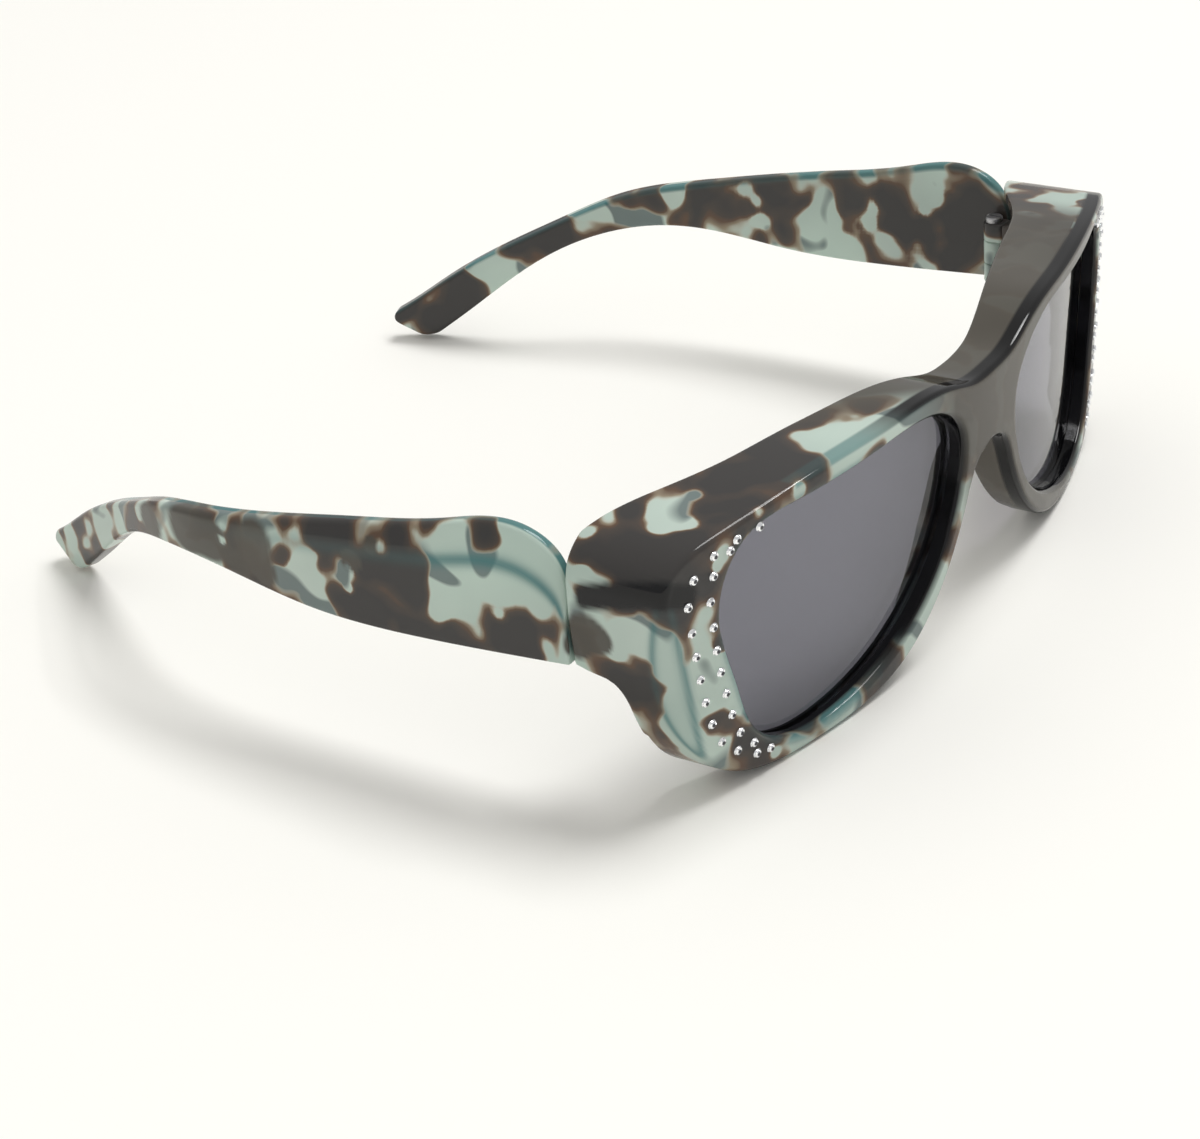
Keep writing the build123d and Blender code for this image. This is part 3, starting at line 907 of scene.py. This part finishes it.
wall_angle = np.arccos(slot_width / 2 / (head_radius - screw_bevel))
quarter_angles = np.concatenate([np.linspace(0, wall_angle, quarter_points), [wall_angle, np.pi / 2]])
quarter_sunk = np.arange(len(quarter_angles)) >= quarter_points
half_angles = there_and_back(quarter_angles, np.pi - quarter_angles)
half_sunk = there_and_back(quarter_sunk, quarter_sunk)
screw_angles = np.concatenate([half_angles, half_angles[1:-1] + np.pi])
sunk = np.concatenate([half_sunk, half_sunk[1:-1]])
print("columns round a screw:", len(screw_angles), "of them in the slot:", np.count_nonzero(sunk))


# %% Screws
def screw_part():
    """A shaft and a head turned from one profile, with a slot across the head.

    Round the side, x = r cos(angle) and y = r sin(angle). Over the top, x stays and y shrinks to 0,
    so that the columns run straight along the slot. Sunk columns end at its floor.
    """
    low, top = hinge_base + screw_tail, hinge_top + head_height
    profile = np.array([
        (0, low), (screw_radius - screw_bevel, low), (screw_radius, low + screw_bevel),
        (screw_radius, hinge_top), (head_radius, hinge_top), (head_radius, top - screw_bevel),
        (head_radius - screw_bevel, top),
    ])
    x, y = [profile[:, :1] * wave for wave in (np.cos(screw_angles), np.sin(screw_angles))]
    z = np.broadcast_to(profile[:, 1:], x.shape)
    shrink = np.linspace(1, 0, across_rows)[1:, None]
    x = np.concatenate([x, np.repeat(x[-1:], across_rows - 1, axis=0)])
    y = np.concatenate([y, y[-1] * shrink])
    z = np.concatenate([z, np.full((across_rows - 1, len(screw_angles)), top)])
    z = np.where(sunk, np.minimum(z, top - slot_depth), z)
    points = np.stack([x + hinge[0], y + hinge[1], z], axis=-1)
    return points.reshape(-1, 3), grid_faces(len(x), len(screw_angles), close_columns=True), ()


for hand, name in ((1, "hinge_screw_left"), (-1, "hinge_screw_right")):
    make_piece(name + "_turned", [on_side(screw_part(), hand)], "front", [name], sharp=screw_degrees)

# %% [markdown]
# The camera was fitted to the picture: where it stands, which way it looks, and its roll. It could
# be aimed at an empty with a constraint, but that would leave out its roll. So its axes are worked
# out from the three angles. The pattern below needs the same axes, to find the place behind a pixel.

# %% Camera
camera_place = Vector((-0.32553, -0.2219, 0.2050))
azimuth, elevation, roll = np.radians((-55.92, 28.69, -4.95))
lens_length, sensor_width, nearest_seen, farthest_seen = 82.75, 36.0, 0.01, 20.0
picture_width, picture_height = 1200, 1139
focal_pixels = lens_length / sensor_width * picture_width
back = Vector((np.sin(azimuth) * np.cos(elevation), -np.cos(azimuth) * np.cos(elevation), np.sin(elevation)))
level_right = Vector((0, 0, 1)).cross(back).normalized()
level_up = np.array(back.cross(level_right))
level_right, back = np.array(level_right), np.array(back)
right = np.cos(roll) * level_right + np.sin(roll) * level_up
up = np.cos(roll) * level_up - np.sin(roll) * level_right
camera_data = bpy.data.cameras.new("photo_camera")
camera_data.lens, camera_data.sensor_width = lens_length, sensor_width
camera_data.clip_start, camera_data.clip_end = nearest_seen, farthest_seen
camera = bpy.data.objects.new("photo_camera", camera_data)
bpy.context.scene.collection.objects.link(camera)
axes_and_place = np.column_stack([right, up, back, camera_place])
camera.matrix_world = Matrix(np.vstack([axes_and_place, (0, 0, 0, 1)]).tolist())
bpy.context.scene.camera = camera
print("the camera stands", round(camera_place.length / mm), "mm from the middle of the pair")

# %% [markdown]
# The acetate is translucent mint with dark brown blotches, each with a warm fringe. Noise in Object
# coordinates alone would put the blotches anywhere. So the larger ones were read off the picture,
# as a middle and a reach in its pixels. A ray through each middle finds the place on the part,
# and what lies near it is stored on the mesh, where the material adds it to its noise.

# %% Dark blotches, read one by one
# Across, down and reach in pixels of the picture
dark_spots = [
    # Temple on the camera's side
    (487, 533, 14), (417, 522, 14), (396, 530, 9), (338, 524, 16), (319, 540, 13), (326, 567, 13),
    (335, 592, 12), (396, 581, 28), (371, 603, 22), (403, 621, 20), (460, 635, 16), (506, 631, 20),
    (524, 649, 14), (417, 564, 11), (281, 556, 11),
    # End of the front beside it
    (617, 543, 22), (597, 556, 16), (643, 563, 20), (672, 567, 20), (684, 545, 16), (689, 578, 13),
    (667, 603, 11), (706, 584, 9), (580, 556, 9), (592, 598, 13), (609, 606, 13), (626, 598, 13),
    (645, 592, 13), (583, 592, 8), (631, 512, 11), (712, 510, 16), (734, 503, 16), (721, 486, 16),
    (746, 475, 15), (636, 682, 24), (623, 672, 14), (650, 706, 16), (722, 646, 9), (729, 723, 12),
    (712, 725, 12), (745, 740, 12), (741, 534, 5), (738, 546, 5),
    # Shelf
    (774, 468, 20), (804, 464, 12), (730, 479, 16), (758, 448, 11), (815, 474, 7),
    # Inner side of the far temple
    (719, 202, 20), (747, 207, 9), (696, 188, 8), (781, 207, 20), (771, 190, 12), (790, 231, 12),
    (856, 202, 13), (851, 226, 13), (899, 207, 18), (913, 226, 12), (884, 197, 10), (979, 207, 14),
    (965, 238, 17), (955, 252, 10), (990, 226, 9), (653, 202, 12), (634, 205, 7), (545, 236, 15),
    (523, 248, 14), (559, 226, 9), (450, 290, 16), (464, 278, 11), (436, 318, 13), (455, 314, 10),
    (400, 311, 7),
]
print("dark blotches:", len(dark_spots))

# %% Mint gaps, grey clouds and a black stretch, read one by one
light_spots = [
    # Temple on the camera's side
    (303, 574, 13), (311, 553, 10), (296, 538, 10), (453, 531, 16), (517, 524, 14), (381, 549, 8),
    (347, 567, 5), (453, 588, 24), (489, 581, 22), (517, 571, 18), (438, 610, 10), (499, 615, 7),
    (535, 603, 14), (545, 646, 9), (221, 524, 7), (106, 517, 10), (281, 574, 6), (350, 590, 5),
    (58, 540, 9), (70, 532, 10), (72, 548, 10), (88, 545, 10), (88, 528, 9), (80, 560, 9), (102, 525, 10),
    (108, 535, 8), (222, 540, 6), (138, 514, 5),
    # End of the front beside it
    (588, 532, 7), (671, 508, 16), (660, 527, 8), (688, 525, 9), (695, 494, 8), (583, 574, 7),
    (643, 629, 18), (623, 632, 9), (616, 654, 7), (652, 649, 14), (671, 649, 14), (664, 675, 11),
    (695, 632, 20), (700, 667, 20), (688, 701, 16), (721, 684, 16), (712, 701, 12), (738, 701, 11),
    (722, 556, 7), (717, 567, 5), (690, 742, 10), (775, 752, 5), (663, 511, 12), (705, 618, 8),
    # Shelf
    (821, 440, 16), (798, 436, 9), (848, 430, 10), (845, 448, 8), (760, 512, 6), (800, 490, 6),
    # Inner side of the far temple, and the far end of the shelf
    (597, 212, 13), (578, 221, 10), (672, 195, 9), (747, 190, 7), (818, 236, 12), (823, 204, 9),
    (842, 245, 9), (889, 248, 12), (917, 248, 8), (936, 200, 7), (927, 212, 6), (990, 250, 10),
    (762, 221, 7), (479, 269, 9), (1050, 200, 14), (1030, 215, 10), (756, 200, 7),
    (831, 222, 8), (873, 205, 7), (869, 222, 7), (938, 228, 8), (945, 245, 8),
]
grey_spots = [
    (253, 542, 23), (185, 528, 26), (150, 522, 20), (212, 540, 22), (265, 573, 13), (240, 566, 12),
    (350, 560, 12), (370, 545, 9), (585, 632, 20), (577, 648, 12), (600, 642, 12),
]
# The black stretch under the near shelf's edge paints in the shade there and the boss seen through.
black_start, black_end, black_gap, black_downs, black_reach = 582, 696, 12, (591, 603), 10
black_spots = [
    (across, down, black_reach) for across in range(black_start, black_end, black_gap) for down in black_downs
]
print("mint gaps:", len(light_spots), "grey clouds:", len(grey_spots), "black spots:", len(black_spots))

# %% [markdown]
# A spot in the picture says nothing about depth. Its place could be guessed from the sizes, but a
# ray from the camera finds it exactly: Blender's search tree gives the first point that the ray
# meets on each of the three moulded pieces, and the nearest of them is the one that is seen.


# %% From the picture to the part
def onto_part(spots, trees):
    """Middle and reach in millimetres where a ray through each pixel first meets the part.

    The ray leaves the camera along across * right - down * up - focal * back. A pixel's reach grows
    with the distance and shrinks with the focal length.
    """
    places = []
    for across, down, reach in spots:
        ray = right * (across - picture_width / 2) - up * (down - picture_height / 2) - focal_pixels * back
        hits = [tree.ray_cast(camera_place, Vector(ray).normalized()) for tree in trees]
        found = [(hit[3], hit[0]) for hit in hits if hit[0] is not None]
        if found:
            distance, point = min(found, key=lambda pair: pair[0])
            places.append((*(point / mm), reach * distance / focal_pixels / mm))
    return np.array(places)


shell_names = ("front_shell", "temple_left_arm", "temple_right_arm")
bpy.context.view_layer.update()
depsgraph = bpy.context.evaluated_depsgraph_get()
trees = [BVHTree.FromObject(bpy.data.objects[name], depsgraph) for name in shell_names]
dark_patches, light_patches, grey_patches, black_patches = [
    onto_part(spots, trees) for spots in (dark_spots, light_spots, grey_spots, black_spots)
]
print("found on the part:", len(dark_patches), len(light_patches), len(grey_patches), len(black_patches))

# %% [markdown]
# What lies near a point of the mesh is one number for each kind of spot. An image texture could
# hold it, but it would need a flat layout of every piece. A number stored at each mesh point needs
# none, and the material reads it by name.

# %% How near a spot is
balance_weight = 0.3


def nearness(points, patches):
    """Sum over patches of exp(-(distance / reach)^2)."""
    away = points[:, None] - patches[:, :3]
    return np.exp(-((away**2).sum(axis=2)) / patches[:, 3] ** 2).sum(axis=1)


def patch_balance(points):
    """(dark - light) / (dark + light + weight): near 1 in dark patches and -1 in light ones."""
    dark, light = nearness(points, dark_patches), nearness(points, light_patches)
    return (dark - light) / (dark + light + balance_weight)


def line_glow(distance, middle, width):
    """A soft line: exp(-((distance - middle) / width)^2)."""
    return np.exp(-(((distance - middle) / width) ** 2))


print("balance on a dark spot:", patch_balance(dark_patches[:1, :3])[0].round(2))

# %% [markdown]
# Seen through its thickness, the front is almost black along its ridge, and its lens grooves lie in
# shade; both darks are painted into its colour. It is smoky grey over the nose and the far brow.
# Mint plastic looks teal where it is seen edge on, at the rim of an opening and at the creases of
# the flats, and this teal is painted in as well. A second noise could not follow these shapes, so
# they are worked out from the same sizes as the shapes.

# %% Marks on the front
# Painted dark: the ridge seen through its thickness, and the shade in the lens grooves.
dark_band_start, dark_band_end, ridge_band_depth, depth_fade = -36.0, -22.0, 2.6, 0.3
smoke_start, smoke_end, smoke_slant, smoke_fade = -28.0, -14.0, 1.2, 12.0
face_smoke_end, shelf_smoke_end = 36.0, 46.0
brow_start, brow_end, bridge_start, bridge_end = 22.0, 28.0, -12.0, -4.0
ridge_fade, face_reach = 0.25, 0.5
# Painted teal where the plastic is seen edge on: rim line, ridge band and crease.
rim_line, rim_line_end, rim_strength = 0.6, -30.0, 0.6
band_start, band_strength = -48.0, 0.7
crease_depth, crease_width, crease_strength, crease_top = 0.45, 0.3, 0.8, 40.0
sample_step = 20
opening_samples = fine_opening[::sample_step]


def front_marks(points):
    """Smoke, painted dark and painted teal: soft steps multiplied along a feature, the largest kept.

    Smoke fills the face and the shelf from the middle to the far end and reaches down over the
    bridge. The painted dark runs along the ridge as far as its depth, for the ridge seen through its
    thickness, and down the walls of the openings, for the shade in the lens grooves. The painted teal,
    for plastic seen edge on, is the near half's rim line, its walls and its ridge, and the crease of
    each flat.
    """
    x, y, z = points.T
    depth = y - front_y - wall_setback(0, x, z)
    away = np.abs(x)[:, None] - opening_samples[:, 0], z[:, None] - opening_samples[:, 1]
    to_opening = np.hypot(*away).min(axis=1)
    middle = smoothstep(dark_band_start, dark_band_end, x)
    haze = smoothstep(smoke_start, smoke_end, x + smoke_slant * (depth - ridge_band_depth))
    far_start = np.where(depth < ridge_band_depth, face_smoke_end, shelf_smoke_end)
    haze = haze * (1 - smoothstep(far_start, far_start + smoke_fade, x))
    upper = np.maximum(smoothstep(brow_start, brow_end, z), smoothstep(bridge_start, bridge_end, x))
    below_band = smoothstep(ridge_band_depth - depth_fade, ridge_band_depth + depth_fade, depth)
    band = smoothstep(0, ridge_fade, depth) * (1 - below_band)
    wall = (to_opening < face_reach) * smoothstep(0, depth_fade, depth)
    deep = smoothstep(wall_depths[2], wall_depths[1], depth)
    smoke = np.maximum(haze * upper, wall * smoothstep(bridge_start, 0, x))
    painted_dark = np.maximum(middle * band, wall * deep)
    rim = line_glow(to_opening, rim_line, rim_line) * (depth < face_reach) * (x < rim_line_end)
    seen_edge = [wall * (1 - deep), band_strength * band * (x > band_start), rim_strength * rim]
    edge = (1 - middle) * np.max(seen_edge, axis=0)
    over_flat = (np.stack([np.abs(x), y - front_y, z], axis=1) - corner_flat) @ flat_outward
    crease = line_glow(over_flat, -crease_depth, crease_width)
    return smoke, painted_dark, np.maximum(edge, crease_strength * crease * (z < crease_top))


print("samples round an opening:", len(opening_samples))

# %% [markdown]
# On a temple the same teal, painted in where the plastic is seen edge on, runs along the foot of the
# bevel and along the inner top edge. Both lines are found from how far a point lies below the top
# and behind the outer face.

# %% Marks on the temples
outer_skin, inner_skin = 1.0, 1.8
line_drop, line_width = 1.0, 1.1
strip_start, strip_end = 0.7, 1.3


def temple_marks(points, samples=800):
    """Painted edge-on teal of a temple: a soft line at the bevel's foot, and a strip at the inner top edge.
    """
    x, y, z = points.T
    fine_shares = np.linspace(0, 1, samples)
    top, plan = curve_at(temple_top, fine_shares), curve_at(temple_plan, fine_shares)
    below_top = np.interp(y - front_y, top[:, 0], top[:, 1]) - z
    from_outside = np.interp(y - front_y, plan[:, 1], plan[:, 0]) - np.abs(x)
    fade = bevel_fade((y - front_y - temple_start) / temple_length)
    foot = (from_outside < outer_skin) * fade * line_glow(below_top - bevel_drop(fade), line_drop, line_width)
    strip = (from_outside > inner_skin) * (1 - smoothstep(strip_start, strip_end, below_top))
    return np.zeros(len(x)), np.zeros(len(x)), np.maximum(foot, strip)


print("teal line", line_width, "mm wide under the bevel")

# %% Numbers stored on the mesh
cloud_low, cloud_high, gap_low, gap_high, black_low, black_high = 0.15, 0.45, 0.35, 0.7, 0.15, 1.1


def points_of(mesh):
    """Mesh points in millimetres."""
    flat = np.empty(len(mesh.vertices) * 3, np.float32)
    mesh.vertices.foreach_get("co", flat)
    return flat.reshape(-1, 3) / mm


def store(mesh, label, values):
    """One number for each mesh point, for a material to read."""
    layer = mesh.attributes.new(label, "FLOAT", "POINT")
    layer.data.foreach_set("value", np.asarray(values, np.float32))


for name in shell_names:
    mesh = bpy.data.objects[name].data
    points = points_of(mesh)
    smoke, painted_dark, edge = front_marks(points) if name == "front_shell" else temple_marks(points)
    cloud = smoothstep(cloud_low, cloud_high, nearness(points, grey_patches))
    cloud = cloud * (1 - smoothstep(gap_low, gap_high, nearness(points, light_patches)))
    black = smoothstep(black_low, black_high, nearness(points, black_patches)) * (name == "front_shell")
    store(mesh, "patch", patch_balance(points))
    store(mesh, "smoke", np.maximum(smoke, cloud))
    # Painted near-black: the ridge seen through its thickness, shade in the grooves and under the near shelf.
    store(mesh, "painted_dark", np.maximum(painted_dark, black))
    # Painted teal where the plastic is seen edge on.
    store(mesh, "edge", edge)
    print(name, "marked, smoke on", round(100 * np.mean(smoke > 0.5)), "% of its points")

# %% [markdown]
# A material is a graph of nodes. Written out with one line for each node and one for each link, it
# is hard to follow. A small helper makes a node and links its inputs in one call, so that a recipe
# reads from its first input to its last.


# %% Nodes of the materials
class NodeMaker:
    """The node tree of a material or a world, with one call for each node."""

    def __init__(self, owner, output):
        owner.use_nodes = True
        self.owner, self.tree = owner, owner.node_tree
        self.tree.nodes.clear()
        self.output = self.add(output)

    def add(self, kind, inputs=None, **settings):
        """A node with its settings; an input is another node's output, which is linked, or a value."""
        node = self.tree.nodes.new("ShaderNode" + kind)
        for key, value in settings.items():
            setattr(node, key, value)
        for key, value in (inputs or {}).items():
            if isinstance(value, bpy.types.NodeSocket):
                self.tree.links.new(value, node.inputs[key])
            else:
                node.inputs[key].default_value = value
        return node

    def value(self, operation, *terms):
        """The result of one sum, product or other operation on numbers."""
        return self.add("Math", dict(enumerate(terms)), operation=operation).outputs[0]

    def mix(self, factor, low, high):
        """A colour between two, low at factor 0 and high at factor 1; inputs 6 and 7 take colours."""
        return self.add("Mix", {"Factor": factor, 6: low, 7: high}, data_type="RGBA").outputs[2]

    def ramp(self, value, stops):
        """A colour looked up between stops, each of them a place and a colour."""
        node = self.add("ValToRGB", {0: value})
        while len(node.color_ramp.elements) < len(stops):
            node.color_ramp.elements.new(1.0)
        for element, (place, color) in zip(node.color_ramp.elements, stops):
            element.position, element.color = place, (*color, 1)
        return node.outputs[0]

    def finish(self, surface):
        """Links the surface to the output, and gives the finished material or world."""
        self.tree.links.new(surface.outputs[0], self.output.inputs["Surface"])
        return self.owner


def new_material(name):
    """A material with an empty node tree."""
    return NodeMaker(bpy.data.materials.new(name), "OutputMaterial")


def wear(name, material):
    """Gives a piece its material."""
    bpy.data.objects[name].data.materials.clear()
    bpy.data.objects[name].data.materials.append(material)
    print(name, "wears", material.name)


print("materials of the frame:", len(bpy.data.materials))

# %% [markdown]
# Tortoiseshell acetate is pressed from translucent pieces of several colours that run into each
# other, so its blotches have no hard border: brown turns to rust, straw and cream before the mint
# begins. A painted image would need each piece laid out flat. Here one noise, pulled up and down by
# the stored balance, runs through a colour ramp for all of these at once, and a second noise gives
# grey-teal clouds deeper down.

# %% Colours of the acetate
# teal is a painted tint, for the plastic seen edge on.
mint, pale_mint, teal = (0.51, 0.65, 0.58), (0.84, 0.96, 0.87), (0.06, 0.22, 0.23)
cream, straw, rust = (0.66, 0.61, 0.50), (0.42, 0.35, 0.25), (0.16, 0.095, 0.06)
umber, dark = (0.095, 0.075, 0.063), (0.062, 0.058, 0.056)
# The second colour here is a painted near-black, for depth and shade.
grey_teal, painted_dark_tone = (0.11, 0.15, 0.16), (0.006, 0.006, 0.007)
smoke_tone, deep_smoke = (0.17, 0.155, 0.13), (0.045, 0.038, 0.028)
blotch_stops = [(0.46, cream), (0.485, straw), (0.525, rust), (0.565, umber), (0.66, dark)]
nothing, most, whole = (0, 0, 0), (0.8, 0.8, 0.8), (1, 1, 1)
cover_stops = [(0.0, nothing), (0.445, nothing), (0.49, whole)]
cloud_stops = [(0.0, nothing), (0.56, nothing), (0.60, most)]
patch_pull, teal_under, teal_over, smoke_cover, glow_through = 0.24, 0.85, 0.25, 0.97, 0.3
print("stops from mint to dark:", len(blotch_stops))

# %% Tortoiseshell acetate
shell = new_material("tortoiseshell")
place = shell.add("TexCoord").outputs["Object"]
blotch = shell.add("TexNoise", {
    "Vector": place, "Scale": 110.0, "Detail": 1.6, "Roughness": 0.45, "Distortion": 0.35,
})
deep = shell.add("TexNoise", {"Vector": place, "Scale": 85.0, "Detail": 1.0, "Distortion": 0.5})
tone = shell.add("TexNoise", {"Vector": place, "Scale": 40.0, "Detail": 2.0}).outputs[0]
patch, smoke, painted_dark, edge = [
    shell.add("Attribute", attribute_name=label).outputs["Fac"] for label in ("patch", "smoke", "painted_dark", "edge")
]
amount = shell.value("ADD", blotch.outputs[0], shell.value("MULTIPLY", patch, patch_pull))
base = shell.mix(tone, (*mint, 1), (*pale_mint, 1))
base = shell.mix(shell.ramp(deep.outputs[0], cloud_stops), base, (*grey_teal, 1))
# Painted teal where the plastic is seen edge on, under the blotches here and lighter over them below.
base = shell.mix(shell.value("MULTIPLY", edge, teal_under), base, (*teal, 1))
color = shell.mix(shell.ramp(amount, cover_stops), base, shell.ramp(amount, blotch_stops))
smoky = shell.mix(tone, (*deep_smoke, 1), (*smoke_tone, 1))
color = shell.mix(shell.value("MULTIPLY", smoke, smoke_cover), color, smoky)
color = shell.mix(shell.value("MULTIPLY", edge, teal_over), color, (*teal, 1))
# Painted near-black over all: the ridge seen through its thickness and the shade in the grooves.
color = shell.mix(painted_dark, color, (*painted_dark_tone, 1))
gloss = shell.add("BsdfPrincipled", {"Base Color": color, "Roughness": 0.08, "IOR": 1.49})
through = shell.add("BsdfTranslucent", {"Color": color})
layers = {"Fac": glow_through, 1: gloss.outputs[0], 2: through.outputs[0]}
tortoiseshell = shell.finish(shell.add("MixShader", layers))
for name in shell_names:
    wear(name, tortoiseshell)

# %% [markdown]
# A smoke lens is tinted right through and polished. Transmission with a dark base colour gives the
# tint and the gloss. Its shadow would come out black, because refracted light finds no lamp, so
# shadow rays see a plain tinted sheet instead.

# %% Smoke lenses
smoke_tint, shadow_tint = (0.185, 0.185, 0.22, 1), (0.45, 0.43, 0.48, 1)
lens = new_material("smoke_lens")
lens_glass = lens.add("BsdfPrincipled", {
    "Base Color": smoke_tint, "Roughness": 0.02, "IOR": 1.3, "Transmission Weight": 1.0,
})
lens_clear = lens.add("BsdfTransparent", {"Color": shadow_tint})
shadow_ray = lens.add("LightPath").outputs["Is Shadow Ray"]
lens_layers = {"Fac": shadow_ray, 1: lens_glass.outputs[0], 2: lens_clear.outputs[0]}
smoke_lens = lens.finish(lens.add("MixShader", lens_layers))
for name in ("lens_left_glass", "lens_right_glass"):
    wear(name, smoke_lens)

# %% [markdown]
# The screws are turned steel, whose fine marks scatter the light unevenly. Rings cut into the mesh
# would be too fine to see, so a small noise on the roughness does that without any relief.

# %% Steel
scatter, least_roughness = 0.3, 0.2
metal = new_material("machined_steel")
turned = metal.add("TexNoise", {"Vector": metal.add("TexCoord").outputs["Object"], "Scale": 6000.0})
uneven = metal.value("MULTIPLY_ADD", turned.outputs[0], scatter, least_roughness)
machined_steel = metal.finish(metal.add("BsdfPrincipled", {
    "Base Color": (0.4, 0.4, 0.41, 1), "Metallic": 1.0, "Roughness": uneven,
}))
for side_name in ("left", "right"):
    wear("hinge_screw_" + side_name + "_turned", machined_steel)

# %% [markdown]
# A foiled crystal throws all light back through its facets, while its table shows the dark inside.
# Real refraction in stones of 1.4 mm would only be noise in a picture. So the facets are a bright
# metal, and the table is a dark polished glass, its dark painted in. Like the hidden foot, it has
# more than four corners.

# %% Crystal
stone_shader = new_material("foiled_crystal")
foiled_crystal = stone_shader.finish(stone_shader.add("BsdfPrincipled", {
    "Base Color": (0.95, 0.96, 0.98, 1), "Metallic": 1.0, "Roughness": 0.06,
}))
table_shader = new_material("crystal_table")
crystal_table = table_shader.finish(table_shader.add("BsdfPrincipled", {
    "Base Color": (0.02, 0.02, 0.03, 1), "Roughness": 0.04, "IOR": 1.55,
}))
quad_corners = 4
for side_name in ("left", "right"):
    wear("rhinestones_" + side_name + "_cut", foiled_crystal)
    cut = bpy.data.objects["rhinestones_" + side_name + "_cut"].data
    cut.materials.append(crystal_table)
    corners = np.empty(len(cut.polygons), np.int32)
    cut.polygons.foreach_get("loop_total", corners)
    cut.polygons.foreach_set("material_index", (corners > quad_corners).astype(np.int32))
    print("faces of the tables and feet:", np.count_nonzero(corners > quad_corners))

# %% [markdown]
# The pair stands on a white sheet that runs on out of sight. A sheet of 40 metres needs no curved
# backdrop, and it lies a hair below the rims so that the two surfaces never coincide.

# %% Floor
floor_size, floor_drop = 40.0, 0.0002
far = floor_size / 2
floor_corners = [(-far, -far, 0), (far, -far, 0), (far, far, 0), (-far, far, 0)]
floor_mesh = bpy.data.meshes.new("floor")
floor_mesh.from_pydata(floor_corners, [], [(0, 1, 2, 3)])
floor = bpy.data.objects.new("floor", floor_mesh)
floor.location.z = -floor_drop
bpy.context.scene.collection.objects.link(floor)
paper = new_material("paper")
matt = paper.add("BsdfPrincipled", {"Base Color": (0.93, 0.92, 0.88, 1), "Roughness": 0.7})
wear("floor", paper.finish(matt))

# %% [markdown]
# A bright room lights the pair from all sides. An image of a room could do it. A ramp over the
# height of the world is enough: a little warmer and brighter above. The camera itself sees white,
# so that the backdrop stays clean.

# %% World
room_stops = [
    (0.0, (0.50, 0.50, 0.51)), (0.2, (0.54, 0.54, 0.54)), (0.55, (0.58, 0.58, 0.57)),
    (1.0, (0.60, 0.59, 0.57)),
]
sky = NodeMaker(bpy.data.worlds.new("studio"), "OutputWorld")
upward = sky.add("SeparateXYZ", {0: sky.add("TexCoord").outputs["Generated"]}).outputs["Z"]
glow = sky.ramp(upward, room_stops)
seen = sky.add("LightPath").outputs["Is Camera Ray"]
world = sky.finish(sky.add("Background", {"Color": sky.mix(seen, glow, (1, 1, 1, 1)), "Strength": 1.0}))
bpy.context.scene.world = world
bpy.context.scene.view_settings.view_transform = "Standard"
print("room from", room_stops[0][1][0], "at the floor to", room_stops[-1][1][0], "above")

# %% [markdown]
# A large window casts the soft shadows to the left. An area lamp would fall off over the floor and
# grey its far end, so the window is a sun with a wide angle. A narrow strip draws the bright line
# along the ridge of the front.

# %% Lamps
window_place, window_aim, window_power, window_angle = (0.32, -0.10, 0.80), (0, 0, 0.02), 1.55, 0.45
strip_place, strip_aim, strip_power = (0.24, -0.27, 0.60), (-0.05, -0.06, 0.04), 0.5
strip_length, strip_width = 0.25, 0.03


def add_lamp(name, kind, place, aim, power):
    """A lamp at a place, its -Z axis turned towards a point."""
    data = bpy.data.lights.new(name, kind)
    data.energy = power
    lamp = bpy.data.objects.new(name, data)
    lamp.location = place
    lamp.rotation_euler = (Vector(aim) - Vector(place)).to_track_quat("-Z", "Y").to_euler()
    bpy.context.scene.collection.objects.link(lamp)
    print(name, "of power", power, "at", place)
    return data


window = add_lamp("window", "SUN", window_place, window_aim, window_power)
window.angle = window_angle
glint = add_lamp("glint", "AREA", strip_place, strip_aim, strip_power)
glint.shape, glint.size, glint.size_y = "RECTANGLE", strip_length, strip_width
